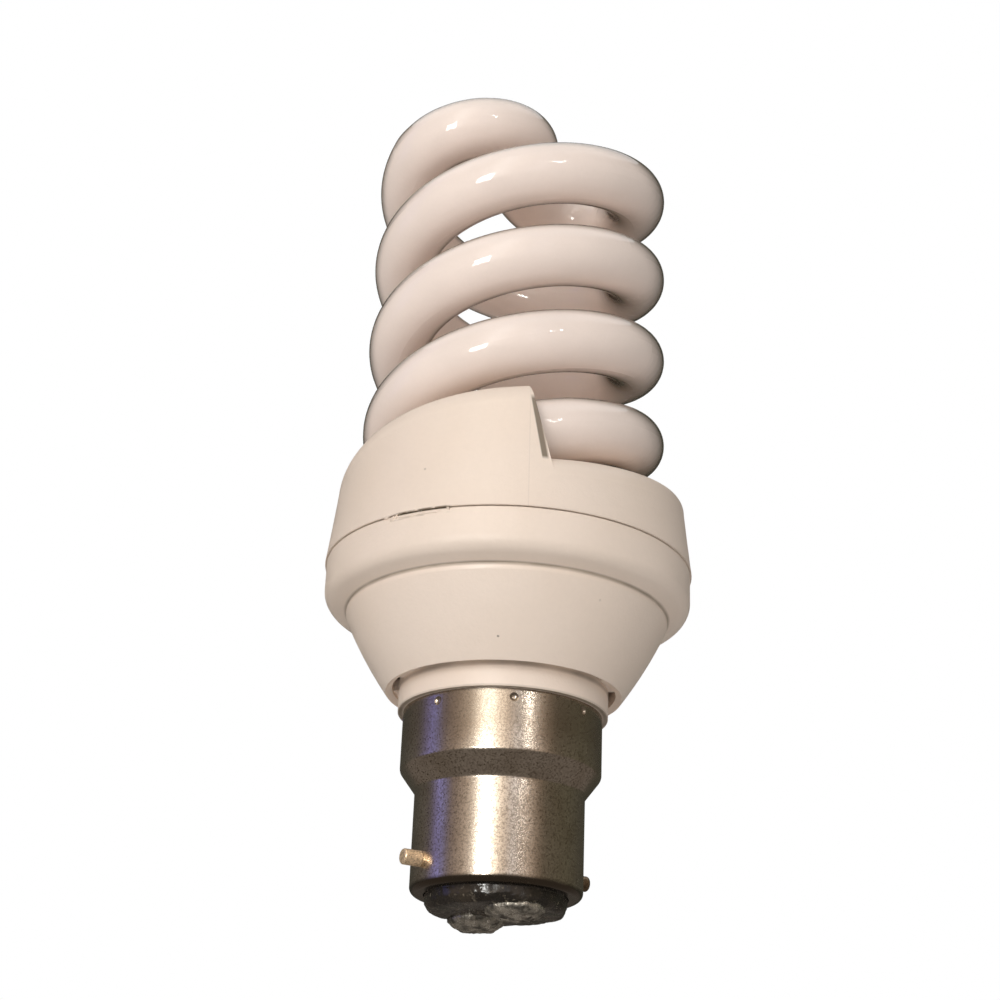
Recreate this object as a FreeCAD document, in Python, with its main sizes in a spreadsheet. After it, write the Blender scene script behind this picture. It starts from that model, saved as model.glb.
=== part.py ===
"""Spiral energy saving bulb with a two-pin bayonet cap.

Millimetres. +Z runs along the bulb's axis from the cap to the top of the spiral, and -Y is the front.
The origin is on the axis, in the plane of the cap shell's lower end.
"""
import FreeCAD, Part
import math
import os
import Sketcher
from FreeCAD import Placement, Rotation, Vector

UP = Vector(0, 0, 1)
FULL_TURN = 360
# A cutter is this many times as long as what it passes through.
THROUGH = 3

doc = FreeCAD.newDocument("SpiralBulb")

# Driving dimensions
SIZES = {
    # cap shell
    "cap_radius": 11.0,
    "cap_wall": 0.25,
    "rim_roll": 0.9,
    "rim_width": 1.8,
    "step_low": 13.0,
    "step_rise": 2.8,
    "skirt_radius": 13.07,
    "skirt_top": 23.6,
    "dimple_radius": 0.7,
    "dimple_depth": 0.3,
    "dimple_drop": 1.1,
    "dimple_count": 8,
    # bayonet pins
    "pin_turn": 28.0,
    "pin_height": 3.5,
    "pin_radius": 1.0,
    "pin_reach": 2.4,
    "pin_edge": 0.3,
    "shank_radius": 0.75,
    "shank_length": 2.0,
    # insulator and its two contacts
    "insulator_top": 6.5,
    "boss_depth": 2.1,
    "boss_edge": 1.3,
    "contact_offset": 5.0,
    "contact_radius": 4.0,
    "contact_plate": 0.4,
    "solder_height": 1.1,
    "stem_radius": 0.9,
    "stem_proud": 0.8,
    # ballast housing
    "band_radius": 24.55,
    "seam_height": 43.3,
    "band_height": 5.1,
    "ledge_radius": 21.5,
    "ledge_drop": 1.1,
    "shoulder_drop": 0.6,
    "shoulder_round": 1.2,
    "crease_round": 2.0,
    "cone_bulge": 60.0,
    "lip_radius": 15.6,
    "lip_height": 26.4,
    "lip_width": 0.85,
    "lip_bevel": 0.4,
    "vent_recess": 0.4,
    "vent_span": 24.0,
    "neck_radius": 13.8,
    "spigot_length": 6.1,
    "spigot_wall": 1.4,
    "housing_wall": 1.6,
    "tongue_height": 2.5,
    "tongue_wall": 0.9,
    # tube cover with its two ramps
    "cover_wall": 1.3,
    "cover_taper": 0.092,
    "ramp_low": 8.2,
    "ramp_rise": 10.5,
    "ramp_ease": 0.06,
    "ramp_edge": 3.2,
    "step_angle": -82.5,
    "hub_radius": 7.6,
    "hub_height": 13.7,
    # discharge tube
    "coil_inset": 7.75,
    "tube_radius": 4.24,
    "coil_pitch": 26.6,
    "coil_start": 13.4,
    "coil_turns": 1.82,
    "bridge_rise": 4.8,
    "bend_radius": 7.0,
    "bend_inset": 14.5,
    "leg_end": 3.5,
    # circuit board and what it carries
    "board_gap": 0.35,
    "board_thickness": 1.6,
    "choke_length": 12.0,
    "choke_width": 6.0,
    "choke_height": 10.0,
    "choke_limb": 2.0,
    "choke_core_leg": 3.6,
    "winding_width": 8.0,
    "smoothing_radius": 5.0,
    "smoothing_length": 17.0,
    "smoothing_groove": 0.35,
    "film_length": 10.0,
    "film_width": 4.5,
    "film_height": 7.0,
    "film_edge": 0.8,
    "ring_outer": 4.5,
    "ring_inner": 2.5,
    "ring_height": 3.5,
    "transistor_radius": 2.4,
    "transistor_height": 4.8,
    "transistor_flat": 1.3,
    "diode_radius": 1.35,
    "diode_length": 4.8,
    "resistor_radius": 1.15,
    "resistor_length": 6.0,
    "fuse_radius": 1.5,
    "fuse_length": 8.0,
    "post_side": 0.8,
    "post_height": 3.2,
    "lead_radius": 0.25,
    "lead_spacing": 3.0,
    "lead_reach": 2.6,
    "wire_radius": 0.6,
    "wire_bend": 4.0,
    # clearances
    "fit_gap": 0.05,
    "seam_gap": 0.12,
    "tongue_gap": 0.1,
    "glass_gap": 0.15,
}

sheet = doc.addObject("Spreadsheet::Sheet", "Sizes")
for row, (alias, number) in enumerate(SIZES.items(), start=1):
    sheet.set(f"A{row}", alias)
    sheet.set(f"B{row}", str(number))
    sheet.setAlias(f"B{row}", alias)
doc.recompute()


class Dim:
    """A size, with the spreadsheet expression that drives it."""

    def __init__(self, text, value):
        self.text = text
        self.value = value

    def join(self, other, sign, result):
        other_text = other.text if isinstance(other, Dim) else repr(other)
        return Dim(f"({self.text} {sign} {other_text})", result)

    def __add__(self, other):
        return self.join(other, "+", self.value + float(other))

    def __sub__(self, other):
        return self.join(other, "-", self.value - float(other))

    def __mul__(self, other):
        return self.join(other, "*", self.value * float(other))

    def __truediv__(self, other):
        return self.join(other, "/", self.value / float(other))

    def __neg__(self):
        return Dim(f"(0 - {self.text})", -self.value)

    def __float__(self):
        return float(self.value)


def dim(alias):
    return Dim(f"Sizes.{alias}", float(getattr(sheet, alias)))


S = {alias: dim(alias) for alias in SIZES}
ZERO = Dim("0", 0.0)

# Radii that follow the band
COIL_RADIUS = S["band_radius"] - S["coil_inset"]
HOUSING_INNER = S["band_radius"] - S["housing_wall"]
BOARD_RADIUS = HOUSING_INNER - S["board_gap"]


def bind(thing, prop, value):
    """Sets a property, by expression where the value is a Dim."""
    if isinstance(value, Dim):
        thing.setExpression(prop, value.text)
    else:
        setattr(thing, prop, value)


def place(thing, x=ZERO, y=ZERO, z=ZERO, turn=None, axis=UP):
    """Binds a placement's base to three Dims, and its turn about one axis to a fourth."""
    if turn is not None:
        thing.Placement = Placement(Vector(), Rotation(axis, float(turn)))
        if isinstance(turn, Dim):
            thing.setExpression("Placement.Rotation.Angle", turn.text)
    for letter, value in zip("xyz", (x, y, z)):
        thing.setExpression(f"Placement.Base.{letter}", value.text)


def polar(radius, turn):
    """The x and y of a point at a radius and an angle in degrees, as Dims."""
    angle = math.radians(float(turn))
    turn_text = turn.text if isinstance(turn, Dim) else repr(turn)
    return (
        Dim(f"({radius.text} * cos({turn_text} * 1 deg))", float(radius) * math.cos(angle)),
        Dim(f"({radius.text} * sin({turn_text} * 1 deg))", float(radius) * math.sin(angle)),
    )


PARTS = []


def keep(thing, label):
    thing.Label = label
    PARTS.append(thing)
    return thing


# Turned pieces: one closed outline in the XZ plane, revolved about Z


def fix_point(sketch, geometry, point, x, y):
    """Ties a point's two coordinates to Dims."""
    for kind, value, axis in (("DistanceX", x, -2), ("DistanceY", y, -1)):
        if value is ZERO:
            sketch.addConstraint(Sketcher.Constraint("PointOnObject", geometry, point, axis))
        else:
            index = sketch.addConstraint(
                Sketcher.Constraint(kind, -1, 1, geometry, point, float(value))
            )
            sketch.setExpression(f"Constraints[{index}]", value.text)


def arc_through(start, end, radius, side):
    """The arc from start to end with its middle on the given side: +1 is left of the way along."""
    chord = end - start
    left = Vector(-chord.y, chord.x, 0).normalize()
    rise = radius - math.sqrt(radius**2 - (chord.Length / 2) ** 2)
    middle = (start + end) / 2 + left * rise * side
    return Part.Arc(start, middle, end)


def draw_outline(sketch, outline):
    """Draws a closed outline of (x, y) corners; a corner with a radius and a side is reached by an arc."""
    corners = [Vector(float(item[0]), float(item[1]), 0) for item in outline]
    ends = []
    for index, item in enumerate(outline):
        start, end = corners[index - 1], corners[index]
        if len(item) == 4:
            arc = arc_through(start, end, float(item[2]), item[3])
            geometry = sketch.addGeometry(arc)
            bound = sketch.addConstraint(
                Sketcher.Constraint("Radius", geometry, float(item[2]))
            )
            sketch.setExpression(f"Constraints[{bound}]", item[2].text)
            drawn_start = sketch.getPoint(geometry, 1)
            forward = (drawn_start - start).Length < (drawn_start - end).Length
            ends.append((geometry, 1, 2) if forward else (geometry, 2, 1))
        else:
            ends.append((sketch.addGeometry(Part.LineSegment(start, end)), 1, 2))
    for index, (geometry, _, last) in enumerate(ends):
        following, first, _ = ends[(index + 1) % len(ends)]
        sketch.addConstraint(
            Sketcher.Constraint("Coincident", geometry, last, following, first)
        )
        fix_point(sketch, geometry, last, outline[index][0], outline[index][1])


def sketch_on(body, role, name):
    plane = next(feature for feature in body.Origin.OriginFeatures if feature.Role == role)
    sketch = body.newObject("Sketcher::SketchObject", name)
    sketch.AttachmentSupport = [(plane, "")]
    sketch.MapMode = "FlatFace"
    return sketch


def turned(name, outline):
    """A body revolved from a closed outline."""
    body = doc.addObject("PartDesign::Body", name)
    sketch = sketch_on(body, "XZ_Plane", f"{name}_outline")
    draw_outline(sketch, outline)
    turn = body.newObject("PartDesign::Revolution", f"{name}_turn")
    turn.Profile = sketch
    turn.ReferenceAxis = (sketch, ["V_Axis"])
    turn.Angle = FULL_TURN
    doc.recompute()
    return body


def round_circles(body, name, radius, circles):
    """Fillets the circular edges about the body's axis that have a given radius and height."""
    base = body.Tip
    names = []
    for index, edge in enumerate(base.Shape.Edges, start=1):
        curve = edge.Curve
        if curve.TypeId != "Part::GeomCircle":
            continue
        for circle_radius, height in circles:
            near = abs(curve.Radius - float(circle_radius)) < 1e-3
            if near and abs(curve.Center.z - float(height)) < 1e-3:
                names.append(f"Edge{index}")
    fillet = body.newObject("PartDesign::Fillet", name)
    fillet.Base = (base, names)
    bind(fillet, "Radius", radius)
    doc.recompute()
    return fillet


# Nickel-plated cap shell: rolled rim, bayonet barrel, step, skirt with punched dimples
def make_cap_shell():
    wall = S["cap_wall"]
    step_high = S["step_low"] + S["step_rise"]
    rim_inner = S["cap_radius"] - S["rim_width"]
    body = turned(
        "cap_shell",
        [
            (rim_inner, ZERO),
            (S["cap_radius"], ZERO),
            (S["cap_radius"], S["step_low"]),
            (S["skirt_radius"], step_high),
            (S["skirt_radius"], S["skirt_top"]),
            (S["skirt_radius"] - wall, S["skirt_top"]),
            (S["skirt_radius"] - wall, step_high + wall / 2),
            (S["cap_radius"] - wall, S["step_low"] + wall / 2),
            (S["cap_radius"] - wall, wall),
            (rim_inner, wall),
        ],
    )
    round_circles(body, "rim_round", S["rim_roll"], [(S["cap_radius"], ZERO)])
    round_circles(body, "rim_inner_round", S["rim_roll"] - wall, [(S["cap_radius"] - wall, wall)])
    round_circles(
        body,
        "step_rounds",
        S["rim_roll"],
        [(S["cap_radius"], S["step_low"]), (S["skirt_radius"], step_high)],
    )
    for pin in range(2):
        cut_pin_hole(body, f"pin_hole_{pin + 1}", S["pin_turn"] + pin * FULL_TURN / 2)
    punch_dimples(body)
    return keep(body, "cap_shell")


def cut_pin_hole(body, name, turn):
    """A round hole through the wall for one bayonet pin's shank."""
    hole = body.newObject("PartDesign::SubtractiveCylinder", name)
    bind(hole, "Radius", S["shank_radius"] + S["fit_gap"])
    bind(hole, "Height", S["cap_radius"])
    lay_outwards(hole, S["cap_radius"] / 2, turn, S["pin_height"])
    doc.recompute()


def lay_outwards(thing, start, turn, height):
    """Turns a cylinder's axis from Z to point out from the bulb's axis."""
    x, y = polar(start, turn)
    angle = float(turn)
    upright_to_level = Rotation(Vector(0, 1, 0), 90)
    thing.Placement = Placement(Vector(), Rotation(UP, angle) * upright_to_level)
    for letter, value in zip("xyz", (x, y, height)):
        thing.setExpression(f"Placement.Base.{letter}", value.text)


def dimple_turns():
    """The dimples are evenly spaced, and the bayonet pins lie midway between two of them."""
    count = int(float(S["dimple_count"]))
    pitch = FULL_TURN / count
    return [float(S["pin_turn"]) + (k + 0.5) * pitch for k in range(count)]


def punch_dimples(body):
    """Each punched dimple is a ball of metal pushed in, with a smaller ball cut from outside."""
    wall = S["cap_wall"]
    height = S["skirt_top"] - S["dimple_drop"]
    centre = S["skirt_radius"] + S["dimple_radius"] - S["dimple_depth"]
    for kind, radius in (
        ("Additive", S["dimple_radius"] + wall),
        ("Subtractive", S["dimple_radius"]),
    ):
        for number, turn in enumerate(dimple_turns(), start=1):
            ball = body.newObject(f"PartDesign::{kind}Sphere", f"{kind}_dimple_{number}")
            bind(ball, "Radius", radius)
            x, y = polar(centre, turn)
            place(ball, x, y, height)
        doc.recompute()
        if kind == "Additive":
            trim_outside(body)


def trim_outside(body):
    """Takes off what the pushed-in balls leave standing proud of the skirt."""
    sleeve = sketch_on(body, "XZ_Plane", "dimple_trim_outline")
    low = S["step_low"] + S["step_rise"] + S["rim_roll"]
    high = S["skirt_top"] + S["dimple_drop"]
    far = S["skirt_radius"] + S["dimple_radius"] * 4
    draw_outline(sleeve, [(S["skirt_radius"], low), (far, low), (far, high), (S["skirt_radius"], high)])
    trim = body.newObject("PartDesign::Groove", "dimple_trim")
    trim.Profile = sleeve
    trim.ReferenceAxis = (sleeve, ["V_Axis"])
    trim.Angle = FULL_TURN
    doc.recompute()


# Brass bayonet pin: a shank through the shell and a thicker free end seated on it
def make_bayonet_pin(number):
    reach = S["pin_reach"]
    edge = S["pin_edge"]
    body = turned(
        f"bayonet_pin_{number}",
        [
            (ZERO, -S["shank_length"]),
            (S["shank_radius"], -S["shank_length"]),
            (S["shank_radius"], ZERO),
            (S["pin_radius"], ZERO),
            (S["pin_radius"], reach - edge),
            (S["pin_radius"] - edge, reach, edge, -1),
            (ZERO, reach),
        ],
    )
    lay_outwards(body, S["cap_radius"], S["pin_turn"] + (number - 1) * FULL_TURN / 2, S["pin_height"])
    return keep(body, f"bayonet_pin_{number}")


# Black glass insulator that closes the cap, with sockets for the pins and holes for the contacts
def contact_turn(number):
    return S["pin_turn"] - 90 + (number - 1) * FULL_TURN / 2


def make_cap_insulator():
    shell_inner = S["cap_radius"] - S["cap_wall"] - S["fit_gap"]
    floor = S["cap_wall"] + S["fit_gap"]
    boss = S["cap_radius"] - S["rim_width"] - S["fit_gap"] * 2
    body = turned(
        "cap_insulator",
        [
            (ZERO, -S["boss_depth"]),
            (boss, -S["boss_depth"]),
            (boss, floor),
            (shell_inner, floor),
            (shell_inner, S["insulator_top"]),
            (ZERO, S["insulator_top"]),
        ],
    )
    round_circles(body, "boss_round", S["boss_edge"], [(boss, -S["boss_depth"])])
    round_circles(body, "seat_round", S["rim_roll"] - S["cap_wall"], [(shell_inner, floor)])
    for pin in range(2):
        socket = body.newObject("PartDesign::SubtractiveCylinder", f"pin_socket_{pin + 1}")
        bind(socket, "Radius", S["shank_radius"] + S["fit_gap"])
        bind(socket, "Height", S["cap_radius"])
        start = S["cap_radius"] - S["shank_length"] - S["fit_gap"]
        lay_outwards(socket, start, S["pin_turn"] + pin * FULL_TURN / 2, S["pin_height"])
        stem_hole = body.newObject("PartDesign::SubtractiveCylinder", f"stem_hole_{pin + 1}")
        bind(stem_hole, "Radius", S["stem_radius"] + S["fit_gap"])
        bind(stem_hole, "Height", S["insulator_top"] + S["boss_depth"] * 2)
        x, y = polar(S["contact_offset"], contact_turn(pin + 1))
        place(stem_hole, x, y, -S["boss_depth"] * 1.5)
    doc.recompute()
    return keep(body, "cap_insulator")


# Contact: a plate on the insulator's underside, domed with solder, and a stem up through it
def make_contact(number):
    seat = ZERO - S["boss_depth"]
    plate_low = seat - S["contact_plate"]
    dome = S["contact_radius"] * S["contact_radius"] / S["solder_height"] / 2 + S["solder_height"] / 2
    body = turned(
        f"contact_{number}",
        [
            (ZERO, plate_low - S["solder_height"]),
            (S["contact_radius"], plate_low, dome, -1),
            (S["contact_radius"], seat),
            (S["stem_radius"], seat),
            (S["stem_radius"], S["insulator_top"] + S["stem_proud"]),
            (ZERO, S["insulator_top"] + S["stem_proud"]),
        ],
    )
    x, y = polar(S["contact_offset"], contact_turn(number))
    place(body, x, y)
    return keep(body, f"contact_{number}")


# Ballast housing: band, ledge, cone, neck ringed with vent slots, and the spigot inside the skirt
LEDGE_HEIGHT = S["seam_height"] - S["band_height"] - S["ledge_drop"]
BOARD_SEAT = LEDGE_HEIGHT + S["housing_wall"]
TONGUE_OUTER = (
    S["band_radius"]
    - S["cover_wall"]
    - S["tongue_gap"]
    - S["cover_taper"] * S["tongue_height"]
)


def make_ballast_housing():
    wall = S["housing_wall"]
    crease = S["seam_height"] - S["band_height"]
    shoulder = LEDGE_HEIGHT - S["shoulder_drop"]
    lip_inner = S["lip_radius"] - S["lip_width"]
    web_low = S["lip_height"] + S["lip_bevel"] + S["vent_recess"]
    web_high = web_low + wall
    neck_low = S["skirt_top"] + S["fit_gap"]
    spigot = S["skirt_radius"] - S["cap_wall"] - S["dimple_depth"] - S["fit_gap"]
    spigot_low = neck_low - S["spigot_length"]
    bore = spigot - S["spigot_wall"]
    tongue_inner = TONGUE_OUTER - S["tongue_wall"]
    tongue_top = S["seam_height"] + S["tongue_height"]
    body = turned(
        "ballast_housing",
        [
            (S["band_radius"], S["seam_height"]),
            (S["band_radius"], crease),
            (S["ledge_radius"], LEDGE_HEIGHT),
            (S["ledge_radius"], shoulder),
            (S["lip_radius"], S["lip_height"], S["cone_bulge"], 1),
            (lip_inner, S["lip_height"] + S["lip_bevel"]),
            (lip_inner, web_low),
            (S["neck_radius"], web_low),
            (S["neck_radius"], neck_low),
            (spigot, neck_low),
            (spigot, spigot_low),
            (bore, spigot_low),
            (bore, web_high),
            (lip_inner + wall, web_high),
            (S["ledge_radius"] - wall, shoulder + wall / 2, S["cone_bulge"] - wall, -1),
            (S["ledge_radius"] - wall, BOARD_SEAT),
            (HOUSING_INNER, BOARD_SEAT),
            (HOUSING_INNER, S["seam_height"] - wall),
            (tongue_inner, S["seam_height"] - wall / 2),
            (tongue_inner, tongue_top),
            (TONGUE_OUTER, tongue_top),
            (TONGUE_OUTER, S["seam_height"]),
        ],
    )
    round_circles(body, "crease_round", S["crease_round"], [(S["band_radius"], crease)])
    round_circles(body, "shoulder_round", S["shoulder_round"], [(S["ledge_radius"], shoulder)])
    cut_vents(body, lip_inner, web_high)
    return keep(body, "ballast_housing")


def draw_sector(sketch, inner, outer, middle, span):
    """Draws a ring sector about the origin, with its middle at an angle."""
    low, high = (math.radians(middle + sign * float(span) / 2) for sign in (-1, 1))
    circle = [Part.Circle(Vector(), UP, float(radius)) for radius in (inner, outer)]
    arcs = [sketch.addGeometry(Part.ArcOfCircle(one, low, high)) for one in circle]
    for arc, radius in zip(arcs, (inner, outer)):
        sketch.addConstraint(Sketcher.Constraint("Coincident", arc, 3, -1, 1))
        bound = sketch.addConstraint(Sketcher.Constraint("Radius", arc, float(radius)))
        sketch.setExpression(f"Constraints[{bound}]", radius.text)
    for point, angle in ((1, low), (2, high)):
        ends = [Vector(math.cos(angle), math.sin(angle), 0) * float(radius) for radius in (inner, outer)]
        side = sketch.addGeometry(Part.LineSegment(*ends))
        sketch.addConstraint(Sketcher.Constraint("Coincident", side, 1, arcs[0], point))
        sketch.addConstraint(Sketcher.Constraint("Coincident", side, 2, arcs[1], point))


def cut_vents(body, outer, top):
    """The vent slots between the neck and the lip, one above each dimple of the cap's skirt."""
    sketch = sketch_on(body, "XY_Plane", "vent_outline")
    draw_sector(sketch, S["neck_radius"], outer, dimple_turns()[0], S["vent_span"])
    slot = body.newObject("PartDesign::Pocket", "vent")
    slot.Profile = sketch
    slot.Reversed = True
    bind(slot, "Length", top * 1.5)
    doc.recompute()
    ring = body.newObject("PartDesign::PolarPattern", "vents")
    ring.Originals = [slot]
    ring.Axis = (sketch, ["N_Axis"])
    ring.Angle = FULL_TURN
    bind(ring, "Occurrences", S["dimple_count"])
    body.Tip = ring
    doc.recompute()


# Discharge tube: two helices joined by an S-shaped bridge, each ending in a bend and a leg


class TubeRoute:
    """Stations along one half of the tube, from its leg to the middle of the bridge."""

    def __init__(self):
        self.radius = float(COIL_RADIUS)
        self.pitch = float(S["coil_pitch"])
        self.slope = self.pitch / (math.tau * self.radius)
        self.front = float(S["seam_height"] + S["coil_start"])
        self.first = float(S["step_angle"]) - float(S["bend_inset"])
        self.last = -180 + FULL_TURN * float(S["coil_turns"]) + 90
        self.bend = float(S["bend_radius"])
        self.bridge_rise = float(S["bridge_rise"])
        self.leg_end = float(BOARD_SEAT + S["leg_end"])

    def along(self, turn):
        angle = math.radians(turn)
        return Vector(-math.sin(angle), math.cos(angle), 0)

    def coil(self, turn):
        """Point and direction on the helix, where turn is in degrees from +X."""
        angle = math.radians(turn)
        height = self.front + self.pitch * (turn + 90) / FULL_TURN
        point = Vector(self.radius * math.cos(angle), self.radius * math.sin(angle), height)
        return point, self.along(turn) + UP * self.slope

    def bend_station(self, share):
        """The bend from the upright leg, at share 0, to the helix, at share 1."""
        end, _ = self.coil(self.first)
        along = self.along(self.first)
        rest = math.atan(self.slope)
        swing = math.pi / 2 - rest
        angle = swing * (1 - share)
        centre = end + (along * math.sin(rest) - UP * math.cos(rest)) * self.bend
        out = UP * math.cos(rest + angle) - along * math.sin(rest + angle)
        way = UP * math.sin(rest + angle) + along * math.cos(rest + angle)
        return centre + out * self.bend, way

    def bridge(self, share):
        """The bridge from the helix, at share 0, to the middle of the S, at share 1."""
        radius = self.radius / 2
        start, _ = self.coil(self.last)
        start_angle = math.radians(self.last)
        angle = start_angle + math.pi * share
        centre = Vector(math.cos(start_angle), math.sin(start_angle), 0) * radius
        length = math.pi * radius
        ease = share * share * (3 - 2 * share)
        rise = self.bridge_rise * ease + self.slope * length * share * (1 - share) ** 2
        point = centre + Vector(math.cos(angle), math.sin(angle), 0) * radius
        point.z = start.z + rise
        climb = self.bridge_rise / length * 6 * share * (1 - share)
        climb += self.slope * (1 - share) * (1 - 3 * share)
        way = Vector(-math.sin(angle), math.cos(angle), climb)
        return point, way

    def leg_foot(self):
        top, way = self.bend_station(0)
        return Vector(top.x, top.y, self.leg_end), way


COIL_STEP = 15
SPAN_STEPS = 6


def loft_rings(stations, radius):
    rings = [Part.Wire([Part.Circle(point, way, radius).toShape()]) for point, way in stations]
    return Part.makeLoft(rings, True, False)


def tube_spans(route, radius):
    """Lofted spans of one half of the tube, which meet at shared rings."""
    foot, up = route.leg_foot()
    top, _ = route.bend_station(0)
    spans = [Part.makeCylinder(radius, (top - foot).Length, foot, up)]
    bend_steps = 5
    bend = [route.bend_station(k / bend_steps) for k in range(bend_steps + 1)]
    spans.append(loft_rings(bend, radius))
    count = math.ceil((route.last - route.first) / (COIL_STEP * SPAN_STEPS))
    width = (route.last - route.first) / count
    for span in range(count):
        low = route.first + span * width
        turns = [low + width * k / SPAN_STEPS for k in range(SPAN_STEPS + 1)]
        spans.append(loft_rings([route.coil(turn) for turn in turns], radius))
    bridge_steps = 2 * SPAN_STEPS
    bridge = [route.bridge(k / bridge_steps) for k in range(bridge_steps + 1)]
    spans.append(loft_rings(bridge, radius))
    return spans


def half_turn(shape):
    return shape.rotated(Vector(), UP, FULL_TURN / 2)


def make_glass_spiral():
    spans = tube_spans(TubeRoute(), float(S["tube_radius"]))
    spans += [half_turn(span) for span in spans]
    spiral = doc.addObject("Part::Feature", "glass_spiral")
    spiral.Shape = spans[0].fuse(spans[1:])
    return keep(spiral, "glass_spiral")


# Tube cover: a shell with two ramps that follow the coil, each ending in a step that the tube enters
RAMP_SECTIONS = 12
COVER_LOW = S["seam_height"] + S["seam_gap"]


class Ramp:
    """Closed sections of one ramp, on planes that lean back square to the coil."""

    def __init__(self, inset):
        self.inset = inset
        self.low = float(COVER_LOW)
        self.first = float(S["step_angle"])
        self.floor = float(S["seam_height"] + S["ramp_low"])
        self.rise = float(S["ramp_rise"])
        self.ease = float(S["ramp_ease"])
        self.edge = float(S["ramp_edge"])
        self.base_radius = float(S["band_radius"])
        self.taper = float(S["cover_taper"])
        self.hub = float(S["hub_radius"])
        self.lean = float(S["coil_pitch"]) / (math.tau * float(COIL_RADIUS))
        self.middle = self.floor + self.rise / 2

    def height(self, share):
        return self.floor + self.rise * (share - self.ease * math.sin(math.tau * share))

    def wall_radius(self, height):
        return self.base_radius - self.taper * (height - self.low)

    def point(self, radius, height, share, shift=0.0):
        angle = math.radians(self.first + share * FULL_TURN / 2)
        outwards = Vector(math.cos(angle), math.sin(angle), 0)
        along = Vector(-math.sin(angle), math.cos(angle), 0)
        back = shift - (height - self.middle) * self.lean
        return outwards * radius + along * back + UP * height

    def section(self, share, bottom, hub, shift=0.0):
        inset = self.inset
        top = self.height(share) - inset
        edge = self.edge - inset / 2
        corner = top - edge
        outer = self.wall_radius(corner) - inset
        sweep = edge * (1 - math.sqrt(0.5))

        def at(radius, height):
            return self.point(radius, height, share, shift)

        return Part.Wire(
            [
                Part.LineSegment(
                    at(hub, bottom), at(self.wall_radius(bottom) - inset, bottom)
                ).toShape(),
                Part.LineSegment(
                    at(self.wall_radius(bottom) - inset, bottom), at(outer, corner)
                ).toShape(),
                Part.Arc(
                    at(outer, corner), at(outer - sweep, top - sweep), at(outer - edge, top)
                ).toShape(),
                Part.LineSegment(at(outer - edge, top), at(hub, top)).toShape(),
                Part.LineSegment(at(hub, top), at(hub, bottom)).toShape(),
            ]
        )

    def solid(self, bottom, hub, end_shift=0.0):
        """The ramp lofted from its foot to its step; end_shift holds it back from the step."""
        sections = []
        for index in range(RAMP_SECTIONS + 1):
            share = index / RAMP_SECTIONS
            sections.append(self.section(share, bottom, hub, -end_shift * share))
        return Part.makeLoft(sections, True, False)


def make_tube_cover():
    wall = float(S["cover_wall"])
    low = float(COVER_LOW)
    floor = float(S["seam_height"] + S["ramp_low"])
    hub = float(S["hub_radius"])
    hub_top = float(S["seam_height"] + S["hub_height"])
    outer = Ramp(0.0)
    ramp = outer.solid(low, hub - wall / 2)
    core = Part.makeCylinder(hub, hub_top - low, Vector(0, 0, low))
    block = ramp.fuse([half_turn(ramp), core])
    inner = Ramp(wall)
    cavity_top = floor - wall
    room = inner.solid(low + wall, hub + wall, wall)
    base_room = Part.makeCone(
        outer.wall_radius(low - wall) - wall,
        outer.wall_radius(cavity_top) - wall,
        cavity_top - low + wall,
        Vector(0, 0, low - wall),
    )
    hub_room = Part.makeCylinder(hub - wall, hub_top - wall - low, Vector(0, 0, low))
    tube = tube_spans(TubeRoute(), float(S["tube_radius"] + S["glass_gap"]))[:3]
    cutters = [base_room, hub_room]
    for piece in [room] + tube:
        cutters += [piece, half_turn(piece)]
    cover = doc.addObject("Part::Feature", "tube_cover")
    cover.Shape = block.cut(cutters).removeSplitter()
    return keep(cover, "tube_cover")


# Circuit board, seated on the housing's inner ledge
def make_circuit_board():
    board = doc.addObject("Part::Cylinder", "circuit_board")
    bind(board, "Radius", BOARD_RADIUS)
    bind(board, "Height", S["board_thickness"])
    place(board, z=BOARD_SEAT)
    return keep(board, "circuit_board")


def box(name, x, y, z, length, width, height):
    """A box centred on x and y, hanging down from z."""
    block = doc.addObject("Part::Box", name)
    bind(block, "Length", length)
    bind(block, "Width", width)
    bind(block, "Height", height)
    place(block, x - length / 2, y - width / 2, z - height)
    return block


def boolean(kind, name, base, tools):
    """Cuts tools from a base one after another."""
    result = base
    for index, tool in enumerate(tools, start=1):
        step = doc.addObject(f"Part::{kind}", f"{name}_{kind.lower()}_{index}")
        step.Base = result
        step.Tool = tool
        result = step
    return result


# Where each component and supply wire meets the board, x and y from its middle
BOARD_PLACES = {
    "choke": (0.0, -6.0),
    "smoothing_capacitor": (2.2, 4.4),
    "film_capacitor_1": (-11.3, 0.0),
    "film_capacitor_2": (11.8, 1.0),
    "ring_transformer": (-5.6, 11.4),
    "transistor_1": (9.6, -10.4),
    "transistor_2": (13.6, -6.6),
    "rectifier_diode_1": (-6.4, -13.6),
    "rectifier_diode_2": (-3.2, -13.6),
    "rectifier_diode_3": (0.0, -13.6),
    "rectifier_diode_4": (3.2, -13.6),
    "resistor_1": (2.6, 13.2),
    "resistor_2": (5.8, 13.2),
    "resistor_3": (9.0, 13.2),
    "fuse": (-6.9, 2.2),
    "supply_wire_1": (8.5, -0.9),
    "supply_wire_2": (-5.0, 5.6),
}


def board_place(name):
    """A component's x and y on the board, as Dims."""
    x, y = BOARD_PLACES[name]
    return Dim(repr(x), x), Dim(repr(y), y)


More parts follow.
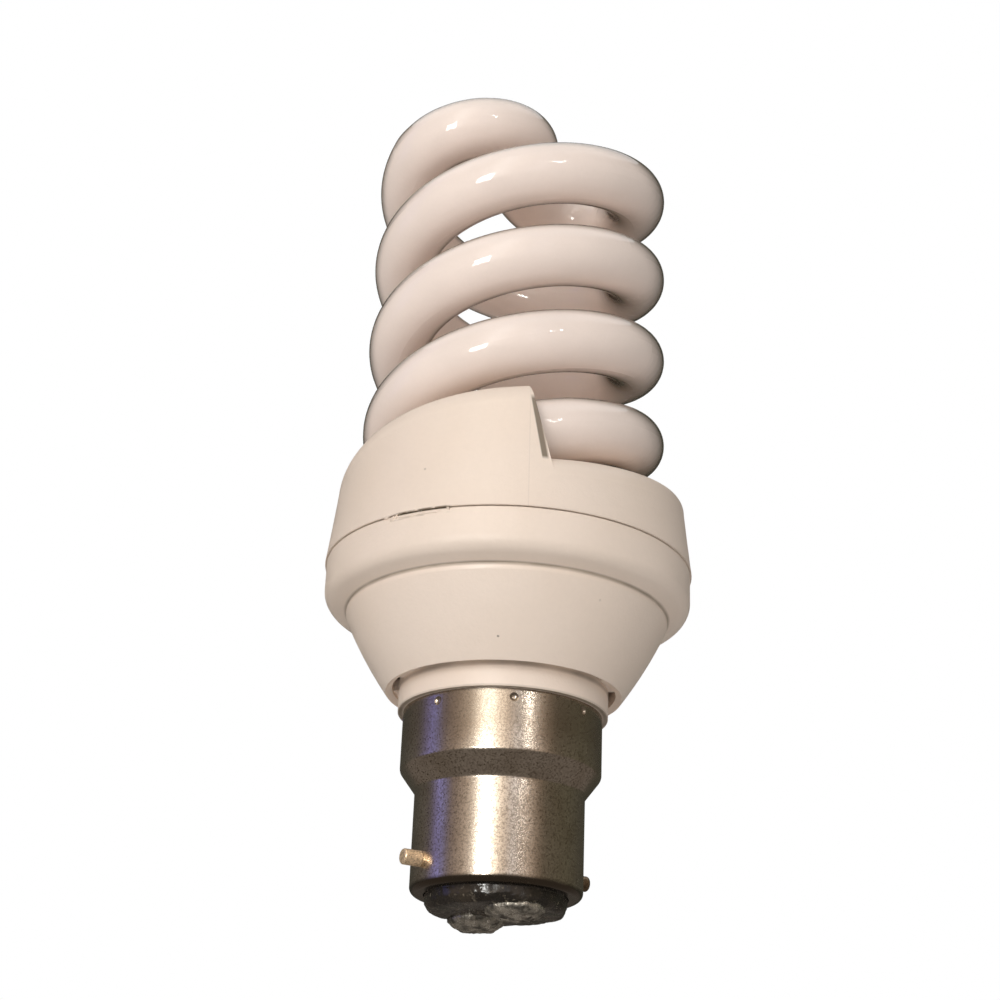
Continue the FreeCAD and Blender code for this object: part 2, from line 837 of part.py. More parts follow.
def make_choke():
    """A gapped ferrite core with two windows, and the winding round its middle leg."""
    x, y = board_place("choke")
    limb = S["choke_limb"]
    window_height = S["choke_height"] - limb * 2
    window = (S["choke_length"] - S["choke_core_leg"]) / 2 - limb
    core = box("choke_block", x, y, BOARD_SEAT, S["choke_length"], S["choke_width"], S["choke_height"])
    offset = (S["choke_core_leg"] + window) / 2
    windows = []
    for number, sign in enumerate((-1, 1), start=1):
        windows.append(
            box(
                f"choke_window_{number}",
                x + offset * sign,
                y,
                BOARD_SEAT - limb,
                window,
                S["choke_width"] * 2,
                window_height,
            )
        )
    keep(boolean("Cut", "choke_core", core, windows), "choke_core")
    gap = S["glass_gap"]
    coil_height = window_height - gap * 2
    coil_top = BOARD_SEAT - limb - gap
    coil = box(
        "winding_block",
        x,
        y,
        coil_top,
        S["choke_core_leg"] + window * 2 - gap * 2,
        S["winding_width"],
        coil_height,
    )
    hole = box(
        "winding_hole",
        x,
        y,
        coil_top + gap,
        S["choke_core_leg"] + gap * 2,
        S["choke_width"] + gap * 2,
        window_height,
    )
    keep(boolean("Cut", "choke_winding", coil, [hole]), "choke_winding")


def make_smoothing_capacitor():
    """An aluminium can hanging from the board into the neck, with a rolled groove near its seal."""
    radius = S["smoothing_radius"]
    groove = S["smoothing_groove"]
    length = S["smoothing_length"]
    body = turned(
        "smoothing_capacitor",
        [
            (ZERO, -length),
            (radius - groove * 2, -length),
            (radius, -length + groove * 2, groove * 2, -1),
            (radius, -groove * 7),
            (radius - groove, -groove * 6),
            (radius, -groove * 5),
            (radius, ZERO),
            (ZERO, ZERO),
        ],
    )
    x, y = board_place("smoothing_capacitor")
    place(body, x, y, BOARD_SEAT)
    keep(body, "smoothing_capacitor")


def make_film_capacitor(number):
    x, y = board_place(f"film_capacitor_{number}")
    block = box(
        f"film_block_{number}", x, y, BOARD_SEAT, S["film_width"], S["film_length"], S["film_height"]
    )
    doc.recompute()
    rounded = doc.addObject("Part::Fillet", f"film_capacitor_{number}")
    rounded.Base = block
    radius = float(S["film_edge"])
    top = float(BOARD_SEAT)
    edges = []
    for index, edge in enumerate(block.Shape.Edges, start=1):
        if min(vertex.Z for vertex in edge.Vertexes) < top - radius:
            edges.append((index, radius, radius))
    rounded.Edges = edges
    keep(rounded, f"film_capacitor_{number}")


def hang_cylinder(name, x, y, radius, height):
    """An upright cylinder that hangs from the board."""
    rod = doc.addObject("Part::Cylinder", name)
    bind(rod, "Radius", radius)
    bind(rod, "Height", height)
    place(rod, x, y, BOARD_SEAT - height)
    return rod


def make_ring_transformer():
    x, y = board_place("ring_transformer")
    ring = hang_cylinder("ring_block", x, y, S["ring_outer"], S["ring_height"])
    hole = hang_cylinder("ring_hole", x, y, S["ring_inner"], S["ring_height"] * THROUGH)
    keep(boolean("Cut", "ring_transformer", ring, [hole]), "ring_transformer")


def make_transistor(number):
    """A small moulded case with one flat side."""
    x, y = board_place(f"transistor_{number}")
    case = hang_cylinder(f"case_{number}", x, y, S["transistor_radius"], S["transistor_height"])
    side = S["transistor_radius"] * 2
    flat = box(
        f"flat_{number}",
        x,
        y + S["transistor_flat"] + side / 2,
        BOARD_SEAT + S["transistor_height"],
        side * 2,
        side,
        S["transistor_height"] * THROUGH,
    )
    keep(boolean("Cut", f"transistor_{number}", case, [flat]), f"transistor_{number}")


def make_lying_part(name, radius, length):
    """A round component lying along Y under the board."""
    x, y = board_place(name)
    rod = doc.addObject("Part::Cylinder", name)
    bind(rod, "Radius", radius)
    bind(rod, "Height", length)
    rod.Placement = Placement(Vector(), Rotation(Vector(1, 0, 0), 90))
    for letter, value in zip("xyz", (x, y + length / 2, BOARD_SEAT - radius)):
        rod.setExpression(f"Placement.Base.{letter}", value.text)
    keep(rod, name)


def make_board_parts():
    make_choke()
    make_smoothing_capacitor()
    make_ring_transformer()
    for number in (1, 2):
        make_film_capacitor(number)
        make_transistor(number)
    for number in (1, 2, 3, 4):
        make_lying_part(f"rectifier_diode_{number}", S["diode_radius"], S["diode_length"])
    for number in (1, 2, 3):
        make_lying_part(f"resistor_{number}", S["resistor_radius"], S["resistor_length"])
    x, y = board_place("fuse")
    keep(hang_cylinder("fuse", x, y, S["fuse_radius"], S["fuse_length"]), "fuse")


# Wires: straight runs joined by tangent arcs, swept with a round section
def wire_path(points, bend):
    edges = []
    last = points[0]
    for before, corner, after in zip(points, points[1:], points[2:]):
        inwards = (before - corner).normalize()
        onwards = (after - corner).normalize()
        half = inwards.getAngle(onwards) / 2
        reach = bend / math.tan(half)
        start, end = corner + inwards * reach, corner + onwards * reach
        middle_way = (inwards + onwards).normalize()
        middle = corner + middle_way * (bend / math.sin(half) - bend)
        edges.append(Part.LineSegment(last, start).toShape())
        edges.append(Part.Arc(start, middle, end).toShape())
        last = end
    edges.append(Part.LineSegment(last, points[-1]).toShape())
    return Part.Wire(edges)


def make_wire(name, points, radius, bend):
    path = wire_path(points, bend)
    section = Part.Wire([Part.Circle(points[0], points[1] - points[0], radius).toShape()])
    wire = doc.addObject("Part::Feature", name)
    wire.Shape = path.makePipeShell([section], True, False)
    keep(wire, name)


def make_supply_wire(number):
    """From a contact's stem, over and up beside the capacitor to the board's underside."""
    x, y = (float(value) for value in board_place(f"supply_wire_{number}"))
    top = float(BOARD_SEAT)
    angle = math.radians(float(contact_turn(number)))
    stem = Vector(math.cos(angle), math.sin(angle), 0) * float(S["contact_offset"])
    foot = float(S["insulator_top"] + S["stem_proud"])
    rise = float(S["wire_bend"])
    points = [
        stem + UP * foot,
        stem + UP * (foot + rise),
        Vector(x, y, float(S["skirt_top"]) - rise * 1.5),
        Vector(x, y, top),
    ]
    make_wire(f"supply_wire_{number}", points, float(S["wire_radius"]), rise)


def make_board_post(number, x, y):
    post = doc.addObject("Part::Box", f"board_post_{number}")
    side = S["post_side"]
    bind(post, "Length", side)
    bind(post, "Width", side)
    bind(post, "Height", S["post_height"])
    place(post, Dim(repr(x), x) - side / 2, Dim(repr(y), y) - side / 2, BOARD_SEAT + S["board_thickness"])
    keep(post, f"board_post_{number}")


def make_tube_ends():
    """Two lead wires from each leg's foot to two posts on the board."""
    route = TubeRoute()
    foot, _ = route.leg_foot()
    inwards = Vector(-foot.x, -foot.y, 0).normalize()
    along = Vector(-inwards.y, inwards.x, 0)
    radius = float(S["lead_radius"])
    spacing = float(S["lead_spacing"])
    reach = float(S["tube_radius"] + S["lead_reach"])
    drop = (float(S["leg_end"]) - float(S["board_thickness"])) / 2
    number = 0
    for side in (1, -1):
        for offset in (-spacing / 2, spacing / 2):
            number += 1
            start = foot + along * offset + inwards * radius * 2
            knee = start - UP * drop
            end = knee + inwards * (reach - float(S["post_side"]))
            post = end + inwards * float(S["post_side"])
            points = [Vector(p.x * side, p.y * side, p.z) for p in (start, knee, end)]
            make_wire(f"tube_lead_{number}", points, radius, radius * 2)
            make_board_post(number, post.x * side, post.y * side)


make_cap_shell()
make_bayonet_pin(1)
make_bayonet_pin(2)
make_cap_insulator()
make_contact(1)
make_contact(2)
make_ballast_housing()
make_glass_spiral()
make_tube_cover()
make_circuit_board()
make_board_parts()
make_supply_wire(1)
make_supply_wire(2)
make_tube_ends()
doc.recompute()

for thing in doc.Objects:
    if "Invalid" in thing.State or "Error" in thing.State:
        raise RuntimeError(f"{thing.Name} failed: {thing.State}")
for part in PARTS:
    if part.Shape.isNull() or not part.Shape.isValid() or not part.Shape.Solids:
        raise RuntimeError(f"{part.Label} has no valid solid")

os.makedirs("parts", exist_ok=True)
for part in PARTS:
    part.Shape.exportStep(f"parts/{part.Label}.step")
    print(part.Label, len(part.Shape.Solids), round(part.Shape.Volume, 3))
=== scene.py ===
"""Looks of the spiral energy saving bulb: its studio, its finishes and the pieces that are modelled here."""

import math

import bmesh
import bpy
from mathutils import Matrix, Vector


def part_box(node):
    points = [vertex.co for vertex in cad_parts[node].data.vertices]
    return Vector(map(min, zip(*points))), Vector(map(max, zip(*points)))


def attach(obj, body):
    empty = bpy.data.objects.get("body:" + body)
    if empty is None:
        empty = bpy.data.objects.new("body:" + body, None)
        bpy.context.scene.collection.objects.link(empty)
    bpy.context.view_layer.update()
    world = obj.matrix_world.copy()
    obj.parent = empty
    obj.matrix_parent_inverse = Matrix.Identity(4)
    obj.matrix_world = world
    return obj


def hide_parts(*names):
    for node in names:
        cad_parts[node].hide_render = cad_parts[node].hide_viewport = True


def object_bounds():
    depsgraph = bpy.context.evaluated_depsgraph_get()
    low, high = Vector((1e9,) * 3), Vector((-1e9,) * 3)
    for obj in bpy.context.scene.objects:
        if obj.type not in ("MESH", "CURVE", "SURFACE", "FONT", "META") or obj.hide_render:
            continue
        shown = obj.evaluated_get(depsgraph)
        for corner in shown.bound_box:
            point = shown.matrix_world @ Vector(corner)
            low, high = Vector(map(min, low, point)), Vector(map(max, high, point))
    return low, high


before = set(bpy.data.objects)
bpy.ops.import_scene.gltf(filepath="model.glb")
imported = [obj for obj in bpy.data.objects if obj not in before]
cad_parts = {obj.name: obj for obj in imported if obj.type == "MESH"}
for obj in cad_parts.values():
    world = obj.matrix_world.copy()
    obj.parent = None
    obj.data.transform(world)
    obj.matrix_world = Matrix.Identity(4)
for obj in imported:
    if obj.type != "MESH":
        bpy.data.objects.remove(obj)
CAD_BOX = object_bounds()

bl_info = {
    "name": "Spiral energy saving bulb",
    "version": (1, 0, 0),
    "blender": (4, 5, 0),
    "location": "View3D > Sidebar > Bulb",
    "description": "Studio, finishes and hand-modelled pieces of a bayonet cap spiral bulb",
    "category": "Object",
}

MM = 0.001
ROOT = "root"
PALE = (0.93, 0.93, 0.93)

# The camera as the photograph was taken: below the cap and a little turned about its line of sight.
CAMERA_LENS = 64.8
CAMERA_SENSOR = 36.0
CAMERA_PLACE = (-0.001517, -0.228114, -0.044571)
CAMERA_RIGHT = Vector((0.99916613, -0.01630027, 0.03743444))
CAMERA_UP = Vector((-0.04082935, -0.39889628, 0.91608663))
CAMERA_AHEAD = Vector((0.0, 0.91685116, 0.39922919))

# The stage round the bulb: what the lamps aim at, the floor, and the room that only gloss sees.
MIDDLE = Vector((0.0, 0.0, 0.055))
FLOOR_HEIGHT = -0.16
FLOOR_SIZE = 6.0
ROOM_RADIUS = 0.85
ROOM_BOTTOM = -0.40
ROOM_TOP = 1.10
TABLE_HEIGHT = -0.15
TABLE_TONE = (0.059, 0.050, 0.043)

# Lamps: azimuth and elevation from the bulb in degrees, distance, width and height in metres.
KEY_LAMP = (-19.0, 12.0, 1.1, 0.60, 0.60)
FILL_LAMP = (-5.0, -20.0, 1.2, 0.8, 0.6)
WINDOW_LAMP = (-20.0, -4.0, 0.60, 0.12, 0.20)
AMBIENT_COLOUR = (1.0, 0.99, 0.98)
LAMP_COLOUR = (1.0, 0.985, 0.965)
WINDOW_COLOUR = (1.0, 1.0, 0.98)
GLINT_DISTANCE = 0.6

# Where the two halves of the ballast body meet, and the angles between which that seam is levered open.
SEAM_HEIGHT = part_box("tube_cover")[0].z
SEAM_RADIUS = 24.55 * MM
PRIED_FROM = -127.0
PRIED_TO = -108.5

# The ridge raised along the levered seam: how far in and below the seam its middle runs, the angles
# that it runs between, how thin and how steep its ends are, and how fine and deep its lumps are.
BURR_INSET = 0.04 * MM
BURR_DROP = 0.42 * MM
BURR_FROM = PRIED_FROM + 1.5
BURR_TO = PRIED_TO - 1.0
BURR_THINNEST = 0.12
BURR_STEEPNESS = 6.0
BURR_LUMPS = 0.9 * MM
BURR_DEPTH = 0.16 * MM

# Torn flakes of the levered seam: angle in degrees, lift in mm and share of the chip size.
SEAM_CHIPS = (
    (-129.2, 0.10, 1.00),
    (-127.4, -0.35, 0.75),
    (-130.6, 0.25, 0.55),
    (-125.9, -0.10, 0.60),
    (-124.6, 0.15, 0.40),
    (-108.9, -0.05, 0.70),
    (-117.5, 0.00, 0.40),
)

# How far in from the seam a flake's middle lies, its proportions, its tilt in radians from one flake
# to the next, how fine and deep its lumps are, and how far inside the CAD box all such wear ends.
CHIP_INSET = 0.02 * MM
CHIP_PROPORTIONS = (0.55, 1.0, 0.42)
CHIP_TILT = 0.35
CHIP_LUMPS = 0.35 * MM
CHIP_DEPTH = 0.34 * MM
WEAR_CLEARANCE = 0.02 * MM

# The line of the cover's mould, as an angle, and the edge of its steps: how far across the front it
# lies where it would meet z = 0, how much that shrinks with height, the heights it runs between, and
# how wide the painted shadow beside it is.
MOULD_LINE = -85.4
STEP_EDGE = 12.90 * MM
STEP_LEAN = 0.186
STEP_HEIGHTS = (50.3 * MM, 59.8 * MM)
STEP_SHADOW_WIDTH = 0.7 * MM

# Inside of the cap that the black glass fills: its bore, its end's opening and the height of its floor.
CAP_BORE = 10.6 * MM
BOSS_RADIUS = 9.05 * MM
CAP_FLOOR = 0.4 * MM

# Heights on the cap's shell: the end of its rolled rim, which gets a painted dark reflection, and the start
# of its darker upper part.
CAP_HEIGHTS = (0.9 * MM, 16.6 * MM)

# The solder: its share of the smooth contact's size before the lumps, and how far it reaches into the glass.
SOLDER_SHARE = 0.95
SOLDER_SUNK = 0.3 * MM

# What lies on the plastic and what is painted on it: specks, the set marks, painted shade in the grooves,
# then the seam's line, the darkening of its levered stretch, the painted shade of its dent, and the painted
# shadow at the cover's steps.
SPECK_COLOUR = (0.22, 0.16, 0.11)
MARK_COLOUR = (0.16, 0.12, 0.08)
CREASE_SHADE_COLOUR = (0.26, 0.20, 0.14)
SEAM_COLOUR = (0.33, 0.26, 0.19)
PRIED_DARK_COLOUR = (0.16, 0.12, 0.07)
DENT_SHADE_COLOUR = (0.42, 0.33, 0.26)
STEP_SHADOW_COLOUR = (0.20, 0.155, 0.11)

# Tarnish of the nickel and of the left pin, the painted shade of the right pin, what lies on the black
# glass, and the painted dark reflection at the tube's rims.
NICKEL_TARNISH = (0.46, 0.38, 0.29)
BRASS_TARNISH = (0.66, 0.46, 0.28)
SHADED_PIN_TONE = (0.20, 0.14, 0.09)
PIT_COLOUR = (0.9, 0.85, 0.75)
HAZE_COLOUR = (0.075, 0.056, 0.038)
DUST_COLOUR = (0.30, 0.25, 0.18)
RIM_REFLECTION_COLOUR = (0.115, 0.088, 0.062)

# Grooves of the housing that get painted shade: radius, height and half width in mm, then how dark it is.
HOUSING_GROOVES = (
    (21.50, 37.08, 0.42, 0.65),
    (13.90, 26.70, 0.50, 0.60),
    (13.45, 23.62, 0.50, 0.95),
)

# Bands of the room's reflections: degrees from the camera, positive to its right, then the colour.
ROOM_STEPS = (
    (-180, (0.018, 0.018, 0.013)),
    (-145, (0.030, 0.028, 0.023)),
    (-118, (0.046, 0.041, 0.034)),
    (-104, (0.050, 0.044, 0.040)),
    (-95, (0.080, 0.070, 0.120)),
    (-88, (0.120, 0.115, 0.270)),
    (-79, (0.105, 0.105, 0.210)),
    (-70, (0.080, 0.064, 0.058)),
    (-50, (0.145, 0.112, 0.090)),
    (-34, (0.250, 0.200, 0.160)),
    (-26, (0.460, 0.400, 0.330)),
    (-20, (0.800, 0.740, 0.670)),
    (-16, (1.000, 0.960, 0.890)),
    (-11, (1.000, 0.960, 0.890)),
    (-6, (0.740, 0.660, 0.580)),
    (0, (0.470, 0.395, 0.330)),
    (10, (0.290, 0.245, 0.215)),
    (17, (0.310, 0.300, 0.310)),
    (26, (0.200, 0.168, 0.150)),
    (38, (0.240, 0.195, 0.162)),
    (50, (0.100, 0.076, 0.057)),
    (62, (0.050, 0.042, 0.031)),
    (100, (0.046, 0.042, 0.030)),
    (140, (0.028, 0.026, 0.020)),
    (180, (0.018, 0.018, 0.013)),
)

# Small lamps that glint on the glass: azimuth and elevation in degrees, then size in metres.
CEILING_GLINTS = (
    (26, 20, 0.030),
    (30, 17, 0.036),
    (33, 22, 0.028),
    (18, -22, 0.018),
)

# Fixed marks on the plastic: place and radius in mm, and how far each darkens it.
HOUSING_MARKS = (
    ((-1.08, -17.27, 28.89), 0.22, 0.80),
    ((11.5, -16.9, 34.3), 0.24, 0.22),
)
COVER_MARKS = (((-11.13, -21.35, 49.30), 0.24, 0.40),)


class BulbFinish(bpy.types.PropertyGroup):
    """Colours of the finishes, as they look under plain white light."""

    plastic: bpy.props.FloatVectorProperty(
        name="Plastic",
        description="Colour of the moulded ballast body and tube cover",
        subtype="COLOR",
        size=3,
        min=0.0,
        max=1.0,
        default=(0.885, 0.748, 0.638),
    )
    glass: bpy.props.FloatVectorProperty(
        name="Coated glass",
        description="Colour of the phosphor seen through the tube's wall",
        subtype="COLOR",
        size=3,
        min=0.0,
        max=1.0,
        default=(0.965, 0.825, 0.740),
    )
    nickel: bpy.props.FloatVectorProperty(
        name="Nickel plate",
        description="Reflection colour of the bayonet cap's shell",
        subtype="COLOR",
        size=3,
        min=0.0,
        max=1.0,
        default=(0.760, 0.690, 0.600),
    )
    brass: bpy.props.FloatVectorProperty(
        name="Brass",
        description="Reflection colour of the bayonet pins",
        subtype="COLOR",
        size=3,
        min=0.0,
        max=1.0,
        default=(0.950, 0.720, 0.480),
    )
    black_glass: bpy.props.FloatVectorProperty(
        name="Black glass",
        description="Colour of the insulator in the cap's end",
        subtype="COLOR",
        size=3,
        min=0.0,
        max=1.0,
        default=(0.016, 0.013, 0.010),
    )
    solder: bpy.props.FloatVectorProperty(
        name="Solder",
        description="Reflection colour of the two contacts",
        subtype="COLOR",
        size=3,
        min=0.0,
        max=1.0,
        default=(0.640, 0.600, 0.520),
    )


class BulbSizes(bpy.types.PropertyGroup):
    """Sizes of the pieces that are modelled here."""

    lump_depth: bpy.props.FloatProperty(
        name="Solder lump depth",
        description="How far the solder's surface rises and falls",
        unit="LENGTH",
        min=0.0,
        default=0.75 * MM,
    )
    lump_size: bpy.props.FloatProperty(
        name="Solder lump size",
        description="How large the lumps of the solder are",
        unit="LENGTH",
        min=0.1 * MM,
        default=1.5 * MM,
    )
    pour_depth: bpy.props.FloatProperty(
        name="Poured glass depth",
        description="How far the black glass's surface rises and falls",
        unit="LENGTH",
        min=0.0,
        default=0.75 * MM,
    )
    pour_size: bpy.props.FloatProperty(
        name="Poured glass size",
        description="How large the waves of the black glass are",
        unit="LENGTH",
        min=0.1 * MM,
        default=3.0 * MM,
    )
    pour_rounding: bpy.props.FloatProperty(
        name="Poured glass rounding",
        description="Radius of the black glass's lower edge",
        unit="LENGTH",
        min=0.1 * MM,
        default=1.3 * MM,
    )
    burr_radius: bpy.props.FloatProperty(
        name="Burr radius",
        description="Half the thickness of the plastic raised along the seam",
        unit="LENGTH",
        min=0.02 * MM,
        default=0.17 * MM,
    )
    chip_size: bpy.props.FloatProperty(
        name="Chip size",
        description="Half the length of the largest chip at the seam",
        unit="LENGTH",
        min=0.1 * MM,
        default=0.62 * MM,
    )


class StudioLight(bpy.types.PropertyGroup):
    """Strength of the studio's light."""

    ambient: bpy.props.FloatProperty(
        name="Ambient",
        description="Even light from all round, where 1 shows a colour as it is",
        min=0.0,
        default=0.39,
    )
    key_power: bpy.props.FloatProperty(
        name="Key lamp",
        description="Power of the large lamp to the front left",
        unit="POWER",
        min=0.0,
        default=6.0,
    )
    fill_power: bpy.props.FloatProperty(
        name="Fill lamp",
        description="Power of the wide lamp low in front",
        unit="POWER",
        min=0.0,
        default=1.7,
    )
    window_power: bpy.props.FloatProperty(
        name="Window lamp",
        description="Power of the lamp that glass and metal mirror as a window",
        unit="POWER",
        min=0.0,
        default=1.5,
    )
    glint_power: bpy.props.FloatProperty(
        name="Glint lamps",
        description="Power of the small lamps for each square metre of their size",
        min=0.0,
        default=70.0,
    )
    room: bpy.props.FloatProperty(
        name="Room",
        description="Brightness of the room that the metal and glass reflect",
        min=0.0,
        default=2.6,
    )


def towards(azimuth, elevation):
    """Unit direction from the bulb, azimuth 0 being the camera's side and positive to its right."""
    turn = math.radians(azimuth)
    rise = math.radians(elevation)
    return Vector((math.sin(turn) * math.cos(rise), -math.cos(turn) * math.cos(rise), math.sin(rise)))


class Nodes:
    """A node tree under construction."""

    def __init__(self, tree):
        self.tree = tree

    def add(self, kind, sources=None, **settings):
        """A node with these settings, each named socket linked to a source or set to a value."""
        node = self.tree.nodes.new(kind)
        for name, value in settings.items():
            setattr(node, name, value)
        for socket, source in (sources or {}).items():
            if isinstance(source, bpy.types.NodeSocket):
                self.tree.links.new(source, node.inputs[socket])
            else:
                node.inputs[socket].default_value = source
        return node

    def maths(self, operation, *values):
        return self.add("ShaderNodeMath", dict(enumerate(values)), operation=operation).outputs[0]


class Recipe(Nodes):
    """A procedural material under construction, on the object's own coordinates in metres."""

    def __init__(self, name, **surface):
        self.material = bpy.data.materials.new(name)
        self.material.use_nodes = True
        super().__init__(self.material.node_tree)
        self.surface = self.tree.nodes["Principled BSDF"]
        self.place = self.add("ShaderNodeTexCoord").outputs["Object"]
        for socket, value in surface.items():
            self.surface.inputs[socket.replace("_", " ")].default_value = value

    def times(self, first, *others):
        """The product of all of them."""
        for other in others:
            first = self.maths("MULTIPLY", first, other)
        return first

    def vector(self, operation, *values):
        sources = dict(enumerate(values))
        return self.add("ShaderNodeVectorMath", sources, operation=operation).outputs["Value"]

    def stretched(self, scale):
        return self.add("ShaderNodeMapping", {"Vector": self.place, "Scale": scale}).outputs[0]

    def noise(self, scale, detail=2.0, roughness=0.5, source=None):
        sources = {"Vector": source or self.place, "Scale": scale, "Detail": detail, "Roughness": roughness}
        return self.add("ShaderNodeTexNoise", sources).outputs["Fac"]

    def cells(self, scale):
        sources = {"Vector": self.place, "Scale": scale}
        return self.add("ShaderNodeTexVoronoi", sources).outputs["Distance"]

    def spread(self, value, low, high, out_low=0.0, out_high=1.0):
        """value from low to high, spread over out_low to out_high with nothing past them."""
        sources = dict(enumerate((value, low, high, out_low, out_high)))
        return self.add("ShaderNodeMapRange", sources, clamp=True).outputs[0]

    def mixed(self, share, first, second):
        """The first colour at share 0 and the second at share 1."""

        def colour(value):
            return value if isinstance(value, bpy.types.NodeSocket) else (*value, 1.0)

        sources = {0: share, 6: colour(first), 7: colour(second)}
        return self.add("ShaderNodeMix", sources, data_type="RGBA").outputs[2]

    def near(self, place, radius):
        """1 at a place and 0 a radius away from it, with a ragged edge."""
        gap = self.vector("DISTANCE", self.place, place)
        ragged = self.maths("MULTIPLY_ADD", self.noise(1.6 / radius), radius * 0.9, gap)
        return self.spread(ragged, radius * 1.35, radius * 0.75)

    def bumped(self, *heights):
        """Bumps one over the other, each a height, its strength and its depth in metres."""
        normal = None
        for height, strength, depth in heights:
            sources = {"Height": height, "Strength": strength, "Distance": depth}
            if normal is not None:
                sources["Normal"] = normal
            normal = self.add("ShaderNodeBump", sources).outputs["Normal"]
        self.surface_link("Normal", normal)

    def surface_link(self, socket, source):
        self.tree.links.new(source, self.surface.inputs[socket])


def shade(colour, factor):
    return tuple(part * factor for part in colour)


def dress(material, *nodes):
    """Gives CAD nodes their finish by their material slots alone."""
    for name in nodes:
        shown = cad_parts[name]
        for slot in shown.material_slots:
            slot.material = material


def coated_glass(colour):
    """Glass tube with the phosphor behind its wall, and a painted dark reflection at its rims, where they
    turn away from the view.
    """
    recipe = Recipe("phosphor_coated_glass", Roughness=0.32, IOR=1.5)
    recipe.surface.inputs["Specular IOR Level"].default_value = 0.0
    recipe.surface.inputs["Coat Weight"].default_value = 1.0
    recipe.surface.inputs["Coat Roughness"].default_value = 0.03
    recipe.surface.inputs["Coat IOR"].default_value = 1.5
    cloudy = recipe.spread(recipe.noise(75.0, 3.0), 0.35, 0.65)
    powder = recipe.spread(recipe.noise(2600.0, 2.0), 0.3, 0.7)
    coat = recipe.mixed(cloudy, shade(colour, 0.965), shade(colour, 1.03))
    coat = recipe.mixed(recipe.times(powder, 0.10), coat, shade(colour, 0.86))
    # Painted dark reflection at the rims.
    facing = recipe.add("ShaderNodeLayerWeight", {"Blend": 0.5}).outputs["Facing"]
    rim_reflection = recipe.maths("POWER", recipe.spread(facing, 0.50, 0.88), 1.6)
    recipe.surface_link("Base Color", recipe.mixed(rim_reflection, coat, RIM_REFLECTION_COLOUR))
    waves, ripple = recipe.noise(140.0, 1.0), recipe.noise(900.0, 2.0)
    recipe.bumped((waves, 0.20, 0.08 * MM), (ripple, 0.05, 0.01 * MM))
    return recipe.material


def step_shadow(recipe, parts):
    """Painted shadow in the gap where each step of the cover meets the tube, on a line that leans with the
    coil.
    """
    height = parts.outputs["Z"]
    across = recipe.times(parts.outputs["X"], recipe.maths("SIGN", parts.outputs["Y"]), -1.0)
    edge = recipe.maths("MULTIPLY_ADD", height, -STEP_LEAN, STEP_EDGE)
    beyond = recipe.maths("SUBTRACT", across, edge)
    low, high = STEP_HEIGHTS
    return recipe.times(
        recipe.spread(beyond, 0.0, 0.14 * MM),
        recipe.spread(beyond, STEP_SHADOW_WIDTH + 0.3 * MM, STEP_SHADOW_WIDTH),
        recipe.spread(height, low, low + 0.5 * MM),
        recipe.spread(height, high, high - 0.8 * MM),
    )


def seam_marks_and_shade(recipe, angle, height):
    """Three shares along the seam: its fine line, the darkening of its levered stretch and the painted shade
    of the dent under it.
    """
    off_seam = recipe.maths("ABSOLUTE", height)
    seam = recipe.spread(off_seam, 0.22 * MM, 0.08 * MM)
    middle = math.radians(0.5 * (PRIED_FROM + PRIED_TO))
    reach = math.radians(0.5 * (PRIED_TO - PRIED_FROM))
    off_middle = recipe.maths("ABSOLUTE", recipe.maths("SUBTRACT", angle, middle))
    pried = recipe.spread(off_middle, reach + 0.02, reach - 0.01)
    broken = recipe.spread(recipe.noise(700.0, 2.0), 0.36, 0.46)
    pried_dark = recipe.times(seam, pried, broken)
    off_lip = recipe.maths("ABSOLUTE", recipe.maths("ADD", height, 0.66 * MM))
    lip = recipe.spread(off_lip, 0.14 * MM, 0.04 * MM)
    dent_shade = recipe.times(lip, pried, recipe.spread(recipe.noise(420.0), 0.42, 0.58))
    return seam, pried_dark, dent_shade


def with_crease_shade(recipe, tone, parts, grooves):
    """The tone with painted shade added in the grooves that run round the bulb's axis."""
    plane = recipe.add("ShaderNodeCombineXYZ", {0: parts.outputs["X"], 1: parts.outputs["Y"]}).outputs[0]
    reach_out = recipe.vector("LENGTH", plane)
    ragged = recipe.spread(recipe.noise(260.0, 3.0), 0.2, 0.8, 0.65, 1.15)
    for radius, level, width, depth in grooves:
        out = recipe.maths("POWER", recipe.maths("SUBTRACT", reach_out, radius * MM), 2.0)
        up = recipe.maths("POWER", recipe.maths("SUBTRACT", parts.outputs["Z"], level * MM), 2.0)
        gap = recipe.maths("SQRT", recipe.maths("ADD", out, up))
        crease_shade = recipe.times(recipe.spread(gap, width * MM, width * 0.25 * MM), ragged, depth)
        tone = recipe.mixed(crease_shade, tone, CREASE_SHADE_COLOUR)
    return tone


